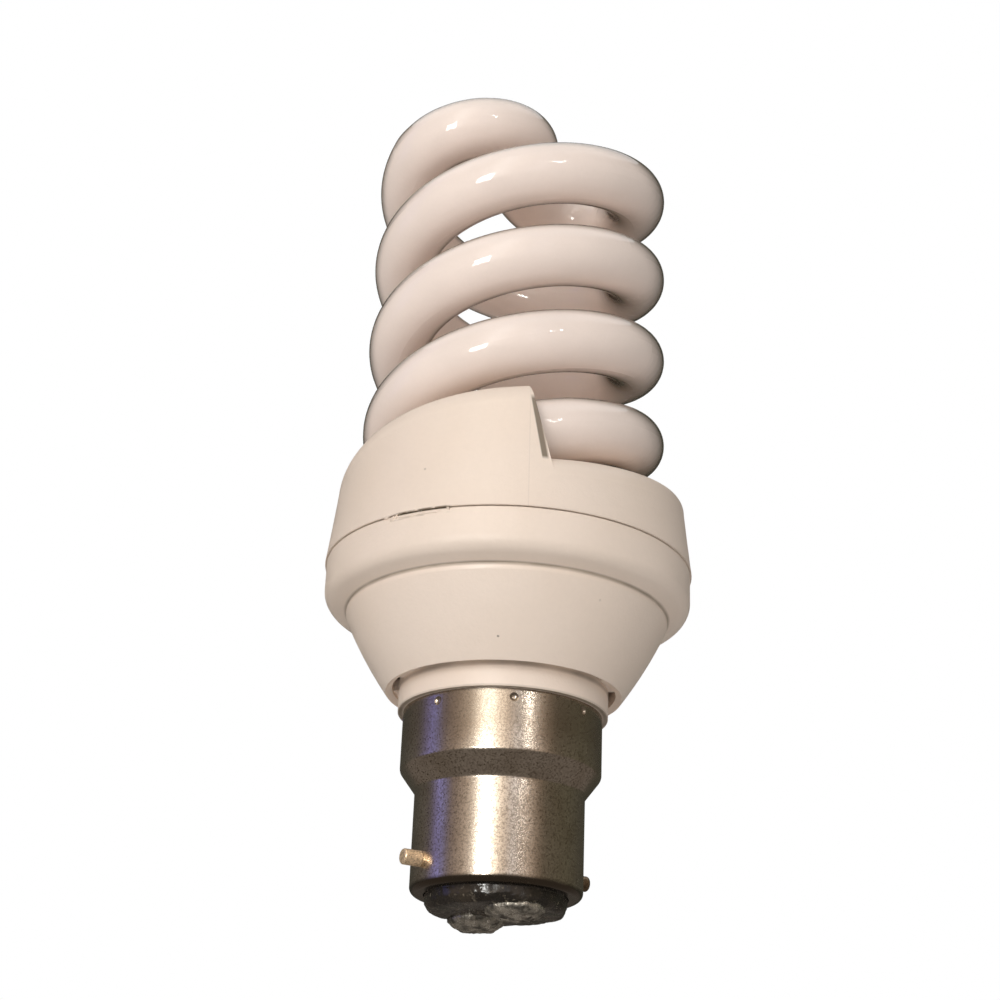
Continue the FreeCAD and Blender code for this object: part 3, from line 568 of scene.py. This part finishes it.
def moulded_plastic(name, colour, marks, grooves=(), mould_line=None):
    """Warm white moulding: eroded grain, slight yellowing, specks, set marks, the seam's line and darkening,
    and painted shade in the grooves, under the seam's dent, along the mould line and at the cover's steps.
    """
    recipe = Recipe(name, Roughness=0.42, IOR=1.5)
    yellowed = (colour[0] * 0.985, colour[1] * 0.965, colour[2] * 0.935)
    ageing = recipe.spread(recipe.noise(38.0, 3.0), 0.3, 0.7)
    tone = recipe.mixed(ageing, shade(colour, 1.015), yellowed)
    fine = recipe.spread(recipe.noise(1500.0, 3.0), 0.3, 0.7)
    tone = recipe.mixed(recipe.times(fine, 0.10), tone, shade(colour, 0.84))
    specks = recipe.spread(recipe.cells(72.0), 0.020, 0.012)
    tone = recipe.mixed(recipe.times(specks, 0.35), tone, SPECK_COLOUR)
    for place, radius, depth in marks:
        spot = recipe.near(tuple(part * MM for part in place), radius * MM)
        tone = recipe.mixed(recipe.times(spot, depth), tone, MARK_COLOUR)
    parts = recipe.add("ShaderNodeSeparateXYZ", {0: recipe.place})
    angle = recipe.maths("ARCTAN2", parts.outputs["Y"], parts.outputs["X"])
    height = recipe.maths("SUBTRACT", parts.outputs["Z"], SEAM_HEIGHT)
    seam, pried_dark, dent_shade = seam_marks_and_shade(recipe, angle, height)
    tone = recipe.mixed(recipe.times(seam, 0.20), tone, SEAM_COLOUR)
    # Darker, broken stretch along the levered part of the seam.
    tone = recipe.mixed(recipe.times(pried_dark, 0.85), tone, PRIED_DARK_COLOUR)
    # Painted shade in the housing's grooves and creases.
    tone = with_crease_shade(recipe, tone, parts, grooves)
    # Painted shade of the dent under the levered stretch of the seam.
    tone = recipe.mixed(recipe.times(dent_shade, 0.55), tone, DENT_SHADE_COLOUR)
    swell, grain = recipe.noise(160.0, 2.0), recipe.noise(2400.0, 3.0, 0.6)
    heights = [(swell, 0.15, 0.10 * MM), (grain, 0.55, 0.05 * MM)]
    if mould_line is not None:
        # Painted shade along the mould line's edge, which also gets a bump.
        off_line = recipe.maths("ABSOLUTE", recipe.maths("SUBTRACT", angle, math.radians(mould_line)))
        line = recipe.spread(off_line, 0.0042, 0.0020)
        tone = recipe.mixed(recipe.times(line, 0.16), tone, shade(colour, 0.62))
        # Painted shadow in the gap beside each step of the cover.
        gap = step_shadow(recipe, parts)
        tone = recipe.mixed(recipe.times(gap, 0.95), tone, STEP_SHADOW_COLOUR)
        heights.append((line, 0.25, 0.04 * MM))
    recipe.surface_link("Base Color", tone)
    recipe.surface_link("Roughness", recipe.spread(recipe.noise(240.0, 3.0), 0.3, 0.7, 0.36, 0.50))
    recipe.bumped(*heights)
    return recipe.material


def turned_metal(name, colour, tarnish, roughness, grain, pitted=0.0, heights=None, metallic=1.0):
    """Plated or turned metal with fine lines round its axis, mottled tarnish and small pits.

    heights are where a rolled rim with a painted dark reflection ends and where a darker upper part starts.
    """
    recipe = Recipe(name, Metallic=metallic, IOR=1.6)
    lines = recipe.noise(900.0, 3.0, 0.6, recipe.stretched((0.10, 0.10, 6.0)))
    salt = recipe.noise(3600.0, 2.0, 0.85)
    stained = recipe.spread(recipe.noise(210.0, 4.0, 0.6), 0.45, 0.72)
    tone = recipe.mixed(recipe.times(stained, 0.55), colour, tarnish)
    dusty = recipe.spread(salt, 0.45, 0.62)
    tone = recipe.mixed(recipe.times(dusty, 0.80), tone, shade(tarnish, 0.55))
    pits = recipe.spread(recipe.cells(520.0), 0.13, 0.07)
    tone = recipe.mixed(recipe.times(pits, pitted), tone, PIT_COLOUR)
    if heights is not None:
        rim, upper_start = heights
        level = recipe.add("ShaderNodeSeparateXYZ", {0: recipe.place}).outputs["Z"]
        worn = recipe.maths("ADD", level, recipe.times(recipe.noise(500.0), 0.3 * MM))
        # Painted dark reflection on the rolled rim.
        rolled_rim_reflection = recipe.spread(worn, rim + 0.3 * MM, rim - 0.2 * MM)
        tone = recipe.mixed(rolled_rim_reflection, tone, shade(tarnish, 0.30))
        # Darker towards the top of the shell.
        darker_upper = recipe.spread(worn, upper_start, upper_start + 3.0 * MM)
        tone = recipe.mixed(recipe.times(darker_upper, 0.42), tone, shade(tarnish, 0.75))
    recipe.surface_link("Base Color", tone)
    rough = recipe.spread(salt, 0.25, 0.75, roughness - 0.06, roughness + 0.12)
    recipe.surface_link("Roughness", rough)
    recipe.bumped((lines, 0.12 * grain, 0.02 * MM), (salt, 0.20 * grain, 0.03 * MM))
    return recipe.material


def poured_glass(colour):
    """Black glass poured into the cap: glossy, uneven and dusty."""
    recipe = Recipe("poured_black_glass", Roughness=0.12, IOR=1.55)
    dust = recipe.spread(recipe.noise(1400.0, 3.0, 0.7), 0.60, 0.74)
    haze = recipe.spread(recipe.noise(260.0, 3.0), 0.45, 0.75)
    tone = recipe.mixed(recipe.times(haze, 0.6), colour, HAZE_COLOUR)
    tone = recipe.mixed(recipe.times(dust, 0.7), tone, DUST_COLOUR)
    recipe.surface_link("Base Color", tone)
    recipe.surface_link("Roughness", recipe.spread(recipe.noise(700.0, 3.0), 0.35, 0.70, 0.08, 0.34))
    waves, ripple = recipe.noise(420.0, 3.0, 0.55), recipe.noise(1500.0, 2.0)
    recipe.bumped((waves, 0.40, 0.30 * MM), (ripple, 0.25, 0.08 * MM))
    return recipe.material


def dull_solder(colour):
    """Grey cast solder, grainy and partly oxidised."""
    recipe = Recipe("dull_solder", Metallic=0.85, IOR=1.6)
    oxide = recipe.spread(recipe.noise(800.0, 4.0, 0.65), 0.40, 0.62)
    tone = recipe.mixed(oxide, colour, shade(colour, 0.22))
    recipe.surface_link("Base Color", tone)
    recipe.surface_link("Roughness", recipe.spread(oxide, 0.0, 1.0, 0.20, 0.52))
    lumps, grain = recipe.noise(1100.0, 4.0, 0.65), recipe.noise(3600.0, 2.0)
    recipe.bumped((lumps, 0.8, 0.22 * MM), (grain, 0.4, 0.05 * MM))
    return recipe.material


def mottled(name, light, dark, scale, roughness, metallic=0.0, bump=0.2, stretch=(1.0, 1.0, 1.0)):
    """A plain finish of an inner piece: two tones, some gloss variation and a fine relief."""
    recipe = Recipe(name, Metallic=metallic, IOR=1.5)
    source = recipe.stretched(stretch)
    pattern = recipe.spread(recipe.noise(scale, 3.0, 0.6, source), 0.35, 0.65)
    recipe.surface_link("Base Color", recipe.mixed(pattern, light, dark))
    recipe.surface_link("Roughness", recipe.spread(pattern, 0.0, 1.0, roughness - 0.06, roughness + 0.08))
    recipe.bumped((recipe.noise(scale * 6.0, 2.0), bump, 0.04 * MM))
    return recipe.material


def emission_only(name, colour, strength):
    """A light-giving material whose colour is a value or a function of the material's nodes."""
    material = bpy.data.materials.new(name)
    material.use_nodes = True
    material.node_tree.nodes.clear()
    nodes = Nodes(material.node_tree)
    tone = colour(nodes) if callable(colour) else (*colour, 1.0)
    glow = nodes.add("ShaderNodeEmission", {"Color": tone, "Strength": strength})
    nodes.add("ShaderNodeOutputMaterial", {"Surface": glow.outputs[0]})
    return material


def room_colour(nodes):
    """The room round the bulb as bands of colour that depend on the direction from the bulb."""
    place = nodes.add("ShaderNodeTexCoord").outputs["Object"]
    parts = nodes.add("ShaderNodeSeparateXYZ", {0: place})
    back = nodes.maths("MULTIPLY", parts.outputs["Y"], -1.0)
    turn = nodes.maths("ARCTAN2", parts.outputs["X"], back)
    share = nodes.add("ShaderNodeMapRange", {"Value": turn, "From Min": -math.pi, "From Max": math.pi})
    bands = nodes.add("ShaderNodeValToRGB", {0: share.outputs[0]})
    steps = bands.color_ramp.elements
    while len(steps) > 1:
        steps.remove(steps[-1])
    steps[0].position = 0.0
    steps[0].color = (*ROOM_STEPS[0][1], 1.0)
    for azimuth, colour in ROOM_STEPS[1:]:
        step = steps.new((azimuth + 180.0) / 360.0)
        step.color = (*colour, 1.0)
    return bands.outputs["Color"]


def only_reflected(obj):
    """The object is seen in gloss alone: it gives the bulb no light and hides nothing."""
    obj.visible_camera = False
    obj.visible_diffuse = False
    obj.visible_shadow = False
    obj.visible_transmission = False
    obj.visible_volume_scatter = False


def clear_selection():
    for obj in bpy.context.selected_objects:
        obj.select_set(False)


def new_piece(name):
    """The active object, just added, takes its name and keeps its place in its mesh."""
    piece = bpy.context.object
    piece.name = name
    piece.data.name = name
    bpy.ops.object.transform_apply(location=True, rotation=True, scale=True)
    return piece


def add_lamp(name, azimuth, elevation, distance, width, height, power, colour):
    """An area lamp at a distance from the bulb's middle, turned to face it."""
    direction = towards(azimuth, elevation)
    turn = direction.to_track_quat("Z", "Y").to_matrix().to_4x4()
    bpy.ops.object.light_add(type="AREA")
    lamp = bpy.context.object
    lamp.name = name
    lamp.data.shape = "RECTANGLE"
    lamp.data.size = width
    lamp.data.size_y = height
    lamp.data.energy = power
    lamp.data.color = colour
    lamp.matrix_world = Matrix.Translation(MIDDLE + direction * distance) @ turn
    return lamp


def select_in_mesh(piece, wanted):
    """Selects the vertices that wanted() says, and the faces they make up, in edit mode."""
    mesh = bmesh.from_edit_mesh(piece.data)
    for vertex in mesh.verts:
        vertex.select_set(False)
    for vertex in mesh.verts:
        vertex.select_set(bool(wanted(vertex.co)))
    mesh.select_flush_mode()
    bmesh.update_edit_mesh(piece.data)


def roughen(piece, size, depth, shift, middle=0.5):
    """Pushes the surface in and out by a cloud pattern, moved by shift, and applies it to the mesh."""
    texture = bpy.data.textures.new(piece.name + "_lumps", "CLOUDS")
    texture.noise_scale = size
    texture.noise_depth = 3
    anchor = bpy.data.objects.new(piece.name + "_anchor", None)
    bpy.context.scene.collection.objects.link(anchor)
    anchor.location = shift
    bpy.context.view_layer.update()
    modifier = piece.modifiers.new("lumps", "DISPLACE")
    modifier.texture = texture
    modifier.texture_coords = "OBJECT"
    modifier.texture_coords_object = anchor
    modifier.strength = depth
    modifier.mid_level = middle
    bpy.context.view_layer.objects.active = piece
    bpy.ops.object.modifier_apply(modifier=modifier.name)
    bpy.data.objects.remove(anchor)
    bpy.data.textures.remove(texture)


class BULB_OT_studio(bpy.types.Operator):
    """Set up the floor, the pale background, the lamps, the room seen in gloss and the camera"""

    bl_idname = "bulb.studio"
    bl_label = "Set up the studio"

    def execute(self, context):
        scene = context.scene
        light = scene.bulb_light
        scene.view_settings.view_transform = "Standard"
        self.make_world(scene, light)
        self.make_floor()
        self.make_room(light)
        key = add_lamp("key_lamp", *KEY_LAMP, light.key_power, LAMP_COLOUR)
        key.visible_glossy = False
        fill = add_lamp("fill_lamp", *FILL_LAMP, light.fill_power, LAMP_COLOUR)
        fill.visible_glossy = False
        window = add_lamp("window_glint", *WINDOW_LAMP, light.window_power, WINDOW_COLOUR)
        window.visible_diffuse = False
        for number, (azimuth, elevation, size) in enumerate(CEILING_GLINTS):
            placing = (azimuth, elevation, GLINT_DISTANCE, size, size)
            power = light.glint_power * size * size
            glint = add_lamp(f"ceiling_glint_{number}", *placing, power, LAMP_COLOUR)
            glint.visible_diffuse = False
        self.make_camera(scene)
        return {"FINISHED"}

    def make_world(self, scene, light):
        world = bpy.data.worlds.new("studio_world")
        scene.world = world
        world.use_nodes = True
        world.node_tree.nodes.clear()
        nodes = Nodes(world.node_tree)
        even = {"Color": (*AMBIENT_COLOUR, 1.0), "Strength": light.ambient}
        ambient = nodes.add("ShaderNodeBackground", even)
        white = nodes.add("ShaderNodeBackground", {"Color": (1.0, 1.0, 1.0, 1.0)})
        path = nodes.add("ShaderNodeLightPath")
        seen = path.outputs["Is Camera Ray"]
        for other in ("Is Glossy Ray", "Is Transmission Ray"):
            seen = nodes.maths("MAXIMUM", seen, path.outputs[other])
        mix = nodes.add("ShaderNodeMixShader", {0: seen, 1: ambient.outputs[0], 2: white.outputs[0]})
        nodes.add("ShaderNodeOutputWorld", {"Surface": mix.outputs[0]})

    def make_floor(self):
        bpy.ops.mesh.primitive_plane_add(size=FLOOR_SIZE, location=(0.0, 0.0, FLOOR_HEIGHT))
        floor = bpy.context.object
        floor.name = "studio_floor"
        recipe = Recipe("pale_floor", Roughness=0.75)
        grain = recipe.spread(recipe.noise(14.0, 3.0), 0.3, 0.7)
        recipe.surface_link("Base Color", recipe.mixed(grain, PALE, shade(PALE, 0.985)))
        floor.data.materials.append(recipe.material)

    def make_room(self, light):
        middle = 0.5 * (ROOM_BOTTOM + ROOM_TOP)
        bpy.ops.mesh.primitive_cylinder_add(
            vertices=96,
            radius=ROOM_RADIUS,
            depth=ROOM_TOP - ROOM_BOTTOM,
            end_fill_type="NOTHING",
            location=(0.0, 0.0, middle),
        )
        room = bpy.context.object
        room.name = "room_walls"
        bpy.ops.object.transform_apply(location=True, rotation=True, scale=True)
        room.data.materials.append(emission_only("room_bands", room_colour, light.room))
        only_reflected(room)
        bpy.ops.mesh.primitive_circle_add(
            vertices=48, radius=ROOM_RADIUS, fill_type="NGON", location=(0.0, 0.0, TABLE_HEIGHT)
        )
        table = bpy.context.object
        table.name = "room_table"
        table.data.materials.append(emission_only("room_table_tone", TABLE_TONE, light.room))
        only_reflected(table)

    def make_camera(self, scene):
        data = bpy.data.cameras.new("camera")
        camera = bpy.data.objects.new("camera", data)
        scene.collection.objects.link(camera)
        data.lens = CAMERA_LENS
        data.sensor_width = CAMERA_SENSOR
        data.clip_start = 0.01
        axes = Matrix((CAMERA_RIGHT, CAMERA_UP, -CAMERA_AHEAD)).transposed()
        camera.matrix_world = Matrix.Translation(CAMERA_PLACE) @ axes.to_4x4()
        scene.camera = camera


class BULB_OT_tube(bpy.types.Operator):
    """Give the coiled discharge tube its coated glass"""

    bl_idname = "bulb.tube"
    bl_label = "Finish the discharge tube"

    def execute(self, context):
        dress(coated_glass(context.scene.bulb_finish.glass), "glass_spiral")
        return {"FINISHED"}


class BULB_OT_body(bpy.types.Operator):
    """Give the ballast body and the tube cover their moulded plastic"""

    bl_idname = "bulb.body"
    bl_label = "Finish the plastic body"

    def execute(self, context):
        colour = context.scene.bulb_finish.plastic
        dress(moulded_plastic("housing_plastic", colour, HOUSING_MARKS, HOUSING_GROOVES), "ballast_housing")
        dress(moulded_plastic("cover_plastic", colour, COVER_MARKS, mould_line=MOULD_LINE), "tube_cover")
        return {"FINISHED"}


class BULB_OT_cap(bpy.types.Operator):
    """Give the bayonet cap its nickel, its brass pins and its black glass"""

    bl_idname = "bulb.cap"
    bl_label = "Finish the bayonet cap"

    def execute(self, context):
        finish = context.scene.bulb_finish
        nickel = turned_metal("nickel_plate", finish.nickel, NICKEL_TARNISH, 0.20, 1.0, 0.25, CAP_HEIGHTS)
        dress(nickel, "cap_shell")
        brass = turned_metal("pin_brass", finish.brass, BRASS_TARNISH, 0.36, 0.7, 0.1, metallic=0.6)
        # The right pin gets a darker copy of the brass: painted shade, as it faces away from the lamps.
        shaded_brass = shade(finish.brass, 0.35)
        dark = turned_metal("shaded_pin_brass", shaded_brass, SHADED_PIN_TONE, 0.36, 0.7, 0.3)
        right, left = sorted(("bayonet_pin_1", "bayonet_pin_2"), key=lambda name: -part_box(name)[1].x)
        dress(brass, left)
        dress(dark, right)
        self.make_poured_glass(context.scene.bulb_sizes, poured_glass(finish.black_glass))
        return {"FINISHED"}

    def make_poured_glass(self, sizes, glass):
        """The glass that fills the cap's end, its edge rounded and its face left uneven by the pour."""
        low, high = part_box("cap_insulator")
        hair = 0.01 * MM
        rings, ring_width = 18, 0.4 * MM
        clear_selection()
        bpy.ops.mesh.primitive_cylinder_add(
            vertices=160,
            radius=BOSS_RADIUS,
            depth=CAP_FLOOR - low.z,
            location=(0.0, 0.0, 0.5 * (low.z + CAP_FLOOR)),
        )
        piece = new_piece("poured_glass")
        bpy.ops.object.mode_set(mode="EDIT")
        select_in_mesh(piece, lambda place: place.z < low.z + hair)
        bpy.ops.mesh.bevel(offset=sizes.pour_rounding, segments=8)
        select_in_mesh(piece, lambda place: place.z < low.z + hair)
        for _ in range(rings):
            bpy.ops.mesh.inset(thickness=ring_width)
        select_in_mesh(piece, lambda place: place.z > CAP_FLOOR - hair)
        widening = CAP_BORE / BOSS_RADIUS
        rise = (0.0, 0.0, high.z - CAP_FLOOR)
        bpy.ops.mesh.extrude_region_move()
        bpy.ops.transform.resize(value=(widening, widening, 1.0), center_override=(0.0, 0.0, CAP_FLOOR))
        bpy.ops.mesh.extrude_region_move(TRANSFORM_OT_translate={"value": rise})
        bpy.ops.object.mode_set(mode="OBJECT")
        finer = piece.modifiers.new("finer", "SUBSURF")
        finer.subdivision_type = "SIMPLE"
        finer.levels = 1
        bpy.ops.object.modifier_apply(modifier=finer.name)
        self.make_uneven(piece, sizes, low)
        bpy.ops.object.shade_smooth()
        piece.data.materials.append(glass)
        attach(piece, ROOT)
        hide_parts("cap_insulator")

    def make_uneven(self, piece, sizes, low):
        """Waves on the glass below the cap's end, kept inside its opening, with the part inside as it is."""
        inside_from = -0.1 * MM
        shape = [vertex.co.copy() for vertex in piece.data.vertices]
        roughen(piece, sizes.pour_size, sizes.pour_depth, Vector((0.4 * MM, 1.1 * MM, 0.0)), middle=0.55)
        for vertex, before in zip(piece.data.vertices, shape):
            reach = math.hypot(vertex.co.x, vertex.co.y)
            if before.z > inside_from:
                vertex.co = before
            elif reach > BOSS_RADIUS:
                vertex.co.x *= BOSS_RADIUS / reach
                vertex.co.y *= BOSS_RADIUS / reach
            vertex.co.z = max(vertex.co.z, low.z)


class BULB_OT_contacts(bpy.types.Operator):
    """Model the two lumpy solder contacts in place of the smooth ones"""

    bl_idname = "bulb.contacts"
    bl_label = "Model the solder contacts"

    def execute(self, context):
        sizes = context.scene.bulb_sizes
        solder = dull_solder(context.scene.bulb_finish.solder)
        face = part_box("cap_insulator")[0].z
        for number in (1, 2):
            low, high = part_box(f"contact_{number}")
            radius = 0.5 * (high.x - low.x)
            squash = (face - low.z) / radius
            seat = (0.5 * (low.x + high.x), 0.5 * (low.y + high.y), face)
            clear_selection()
            bpy.ops.mesh.primitive_uv_sphere_add(
                segments=72, ring_count=48, radius=radius * SOLDER_SHARE, location=seat
            )
            piece = new_piece(f"solder_contact_{number}")
            bpy.ops.object.mode_set(mode="EDIT")
            bpy.ops.mesh.select_all(action="SELECT")
            bpy.ops.transform.resize(value=(1.0, 1.0, squash), center_override=seat)
            bpy.ops.mesh.bisect(
                plane_co=(0.0, 0.0, face + SOLDER_SUNK),
                plane_no=(0.0, 0.0, 1.0),
                clear_outer=True,
                use_fill=True,
            )
            bpy.ops.object.mode_set(mode="OBJECT")
            shift = Vector((0.7 * MM * number, -1.3 * MM * number, 0.4 * MM))
            roughen(piece, sizes.lump_size, sizes.lump_depth, shift)
            for vertex in piece.data.vertices:
                vertex.co.z = max(vertex.co.z, low.z)
            bpy.ops.object.shade_smooth()
            piece.data.materials.append(solder)
            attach(piece, ROOT)
            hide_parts(f"contact_{number}")
        return {"FINISHED"}


class BULB_OT_seam_wear(bpy.types.Operator):
    """Model the plastic raised and chipped along the levered stretch of the seam"""

    bl_idname = "bulb.seam_wear"
    bl_label = "Model the worn seam"

    def execute(self, context):
        sizes = context.scene.bulb_sizes
        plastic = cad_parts["tube_cover"].material_slots[0].material
        self.make_burr(sizes, plastic)
        self.make_chips(sizes, plastic)
        return {"FINISHED"}

    def make_burr(self, sizes, plastic):
        """A thin ridge just under the seam, cut from a ring, tapered at its ends and made uneven."""
        ring_radius = SEAM_RADIUS - BURR_INSET
        ring_height = SEAM_HEIGHT - BURR_DROP
        clear_selection()
        bpy.ops.mesh.primitive_torus_add(
            major_radius=ring_radius,
            minor_radius=sizes.burr_radius,
            major_segments=900,
            minor_segments=12,
            location=(0.0, 0.0, ring_height),
        )
        burr = new_piece("seam_burr")
        low, high = math.radians(BURR_FROM), math.radians(BURR_TO)

        def outside(place):
            return not low <= math.atan2(place.y, place.x) <= high

        bpy.ops.object.mode_set(mode="EDIT")
        select_in_mesh(burr, outside)
        bpy.ops.mesh.delete(type="VERT")
        bpy.ops.mesh.select_all(action="SELECT")
        bpy.ops.mesh.region_to_loop()
        bpy.ops.mesh.edge_face_add()
        bpy.ops.object.mode_set(mode="OBJECT")
        for vertex in burr.data.vertices:
            share = (math.atan2(vertex.co.y, vertex.co.x) - low) / (high - low)
            fade = min(1.0, BURR_STEEPNESS * share, BURR_STEEPNESS * (1.0 - share))
            centre = Vector((vertex.co.x, vertex.co.y, 0.0)).normalized() * ring_radius
            centre.z = ring_height
            vertex.co = centre + (vertex.co - centre) * max(BURR_THINNEST, fade)
        roughen(burr, BURR_LUMPS, BURR_DEPTH, Vector((0.2 * MM, 0.0, 0.1 * MM)))
        self.finish(burr, plastic)

    def make_chips(self, sizes, plastic):
        """Torn flakes at both ends of the levered stretch."""
        for number, (angle, lift, size) in enumerate(SEAM_CHIPS, 1):
            turn = math.radians(angle)
            reach = SEAM_RADIUS - CHIP_INSET
            place = (reach * math.cos(turn), reach * math.sin(turn), SEAM_HEIGHT + lift * MM)
            clear_selection()
            bpy.ops.mesh.primitive_ico_sphere_add(
                subdivisions=4,
                radius=sizes.chip_size * size,
                location=place,
                rotation=(CHIP_TILT * number, 0.0, turn),
            )
            chip = bpy.context.object
            chip.scale = CHIP_PROPORTIONS
            chip = new_piece(f"seam_chip_{number}")
            shift = Vector((0.31 * MM * number, 0.17 * MM, 0.0))
            roughen(chip, CHIP_LUMPS, CHIP_DEPTH * size, shift)
            self.finish(chip, plastic)

    def finish(self, piece, plastic):
        """Keeps the wear inside the CAD box, gives it the cover's plastic and hands it over."""
        limit = CAD_BOX[1].x - WEAR_CLEARANCE
        for vertex in piece.data.vertices:
            reach = math.hypot(vertex.co.x, vertex.co.y)
            if reach > limit:
                vertex.co.x *= limit / reach
                vertex.co.y *= limit / reach
        bpy.ops.object.shade_smooth()
        piece.data.materials.append(plastic)
        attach(piece, ROOT)


class BULB_OT_ballast(bpy.types.Operator):
    """Give the ballast's inner pieces their finishes"""

    bl_idname = "bulb.ballast"
    bl_label = "Finish the ballast's pieces"

    def execute(self, context):
        weave = (1.0, 3.0, 1.0)
        laminate = mottled(
            "board_laminate", (0.52, 0.36, 0.15), (0.38, 0.25, 0.09), 420.0, 0.55, stretch=weave
        )
        dress(laminate, "circuit_board")
        ferrite = mottled("ferrite_grey", (0.070, 0.066, 0.064), (0.035, 0.034, 0.034), 900.0, 0.62)
        dress(ferrite, "choke_core", "ring_transformer")
        turns = (0.5, 0.5, 14.0)
        copper = mottled(
            "enamelled_copper", (0.62, 0.25, 0.10), (0.36, 0.12, 0.05), 300.0, 0.34, 0.85, 0.4, turns
        )
        dress(copper, "choke_winding")
        sleeve = mottled("capacitor_sleeve", (0.020, 0.024, 0.040), (0.010, 0.012, 0.022), 260.0, 0.30)
        dress(sleeve, "smoothing_capacitor")
        film = mottled("film_case", (0.34, 0.060, 0.030), (0.24, 0.040, 0.022), 320.0, 0.36)
        dress(film, "film_capacitor_1", "film_capacitor_2")
        moulded = mottled("black_case", (0.030, 0.030, 0.031), (0.016, 0.016, 0.017), 1300.0, 0.50)
        dress(moulded, "transistor_1", "transistor_2", *(f"rectifier_diode_{n}" for n in range(1, 5)))
        resistor = mottled("resistor_lacquer", (0.56, 0.42, 0.24), (0.46, 0.33, 0.18), 700.0, 0.42)
        dress(resistor, "resistor_1", "resistor_2", "resistor_3")
        dress(mottled("fuse_sleeve", (0.60, 0.58, 0.52), (0.50, 0.47, 0.40), 600.0, 0.38), "fuse")
        wire = mottled("wire_sleeve", (0.66, 0.62, 0.55), (0.55, 0.51, 0.44), 500.0, 0.45)
        dress(wire, "supply_wire_1", "supply_wire_2")
        tinned = mottled("tinned_wire", (0.66, 0.64, 0.60), (0.44, 0.42, 0.38), 1500.0, 0.30, 1.0)
        dress(tinned, *(f"tube_lead_{n}" for n in range(1, 5)))
        post = mottled("board_post", (0.70, 0.68, 0.62), (0.48, 0.46, 0.40), 1200.0, 0.35, 0.9)
        dress(post, *(f"board_post_{n}" for n in range(1, 5)))
        return {"FINISHED"}


OPERATORS = (
    BULB_OT_studio,
    BULB_OT_tube,
    BULB_OT_body,
    BULB_OT_cap,
    BULB_OT_contacts,
    BULB_OT_seam_wear,
    BULB_OT_ballast,
)


class BULB_PT_panel(bpy.types.Panel):
    """Sidebar panel with the bulb's settings and steps"""

    bl_idname = "BULB_PT_panel"
    bl_label = "Spiral bulb"
    bl_space_type = "VIEW_3D"
    bl_region_type = "UI"
    bl_category = "Bulb"

    def draw(self, context):
        layout = self.layout
        for group in (context.scene.bulb_finish, context.scene.bulb_sizes, context.scene.bulb_light):
            box = layout.box()
            for name in group.__annotations__:
                box.prop(group, name)
        for operator in OPERATORS:
            layout.operator(operator.bl_idname)


GROUPS = (("bulb_finish", BulbFinish), ("bulb_sizes", BulbSizes), ("bulb_light", StudioLight))


def register():
    for name, group in GROUPS:
        bpy.utils.register_class(group)
        setattr(bpy.types.Scene, name, bpy.props.PointerProperty(type=group))
    for operator in OPERATORS:
        bpy.utils.register_class(operator)
    bpy.utils.register_class(BULB_PT_panel)


def unregister():
    bpy.utils.unregister_class(BULB_PT_panel)
    for operator in reversed(OPERATORS):
        bpy.utils.unregister_class(operator)
    for name, group in reversed(GROUPS):
        delattr(bpy.types.Scene, name)
        bpy.utils.unregister_class(group)


def main():
    register()
    for operator in OPERATORS:
        family, step = operator.bl_idname.split(".")
        getattr(getattr(bpy.ops, family), step)()


if __name__ == "__main__":
    main()
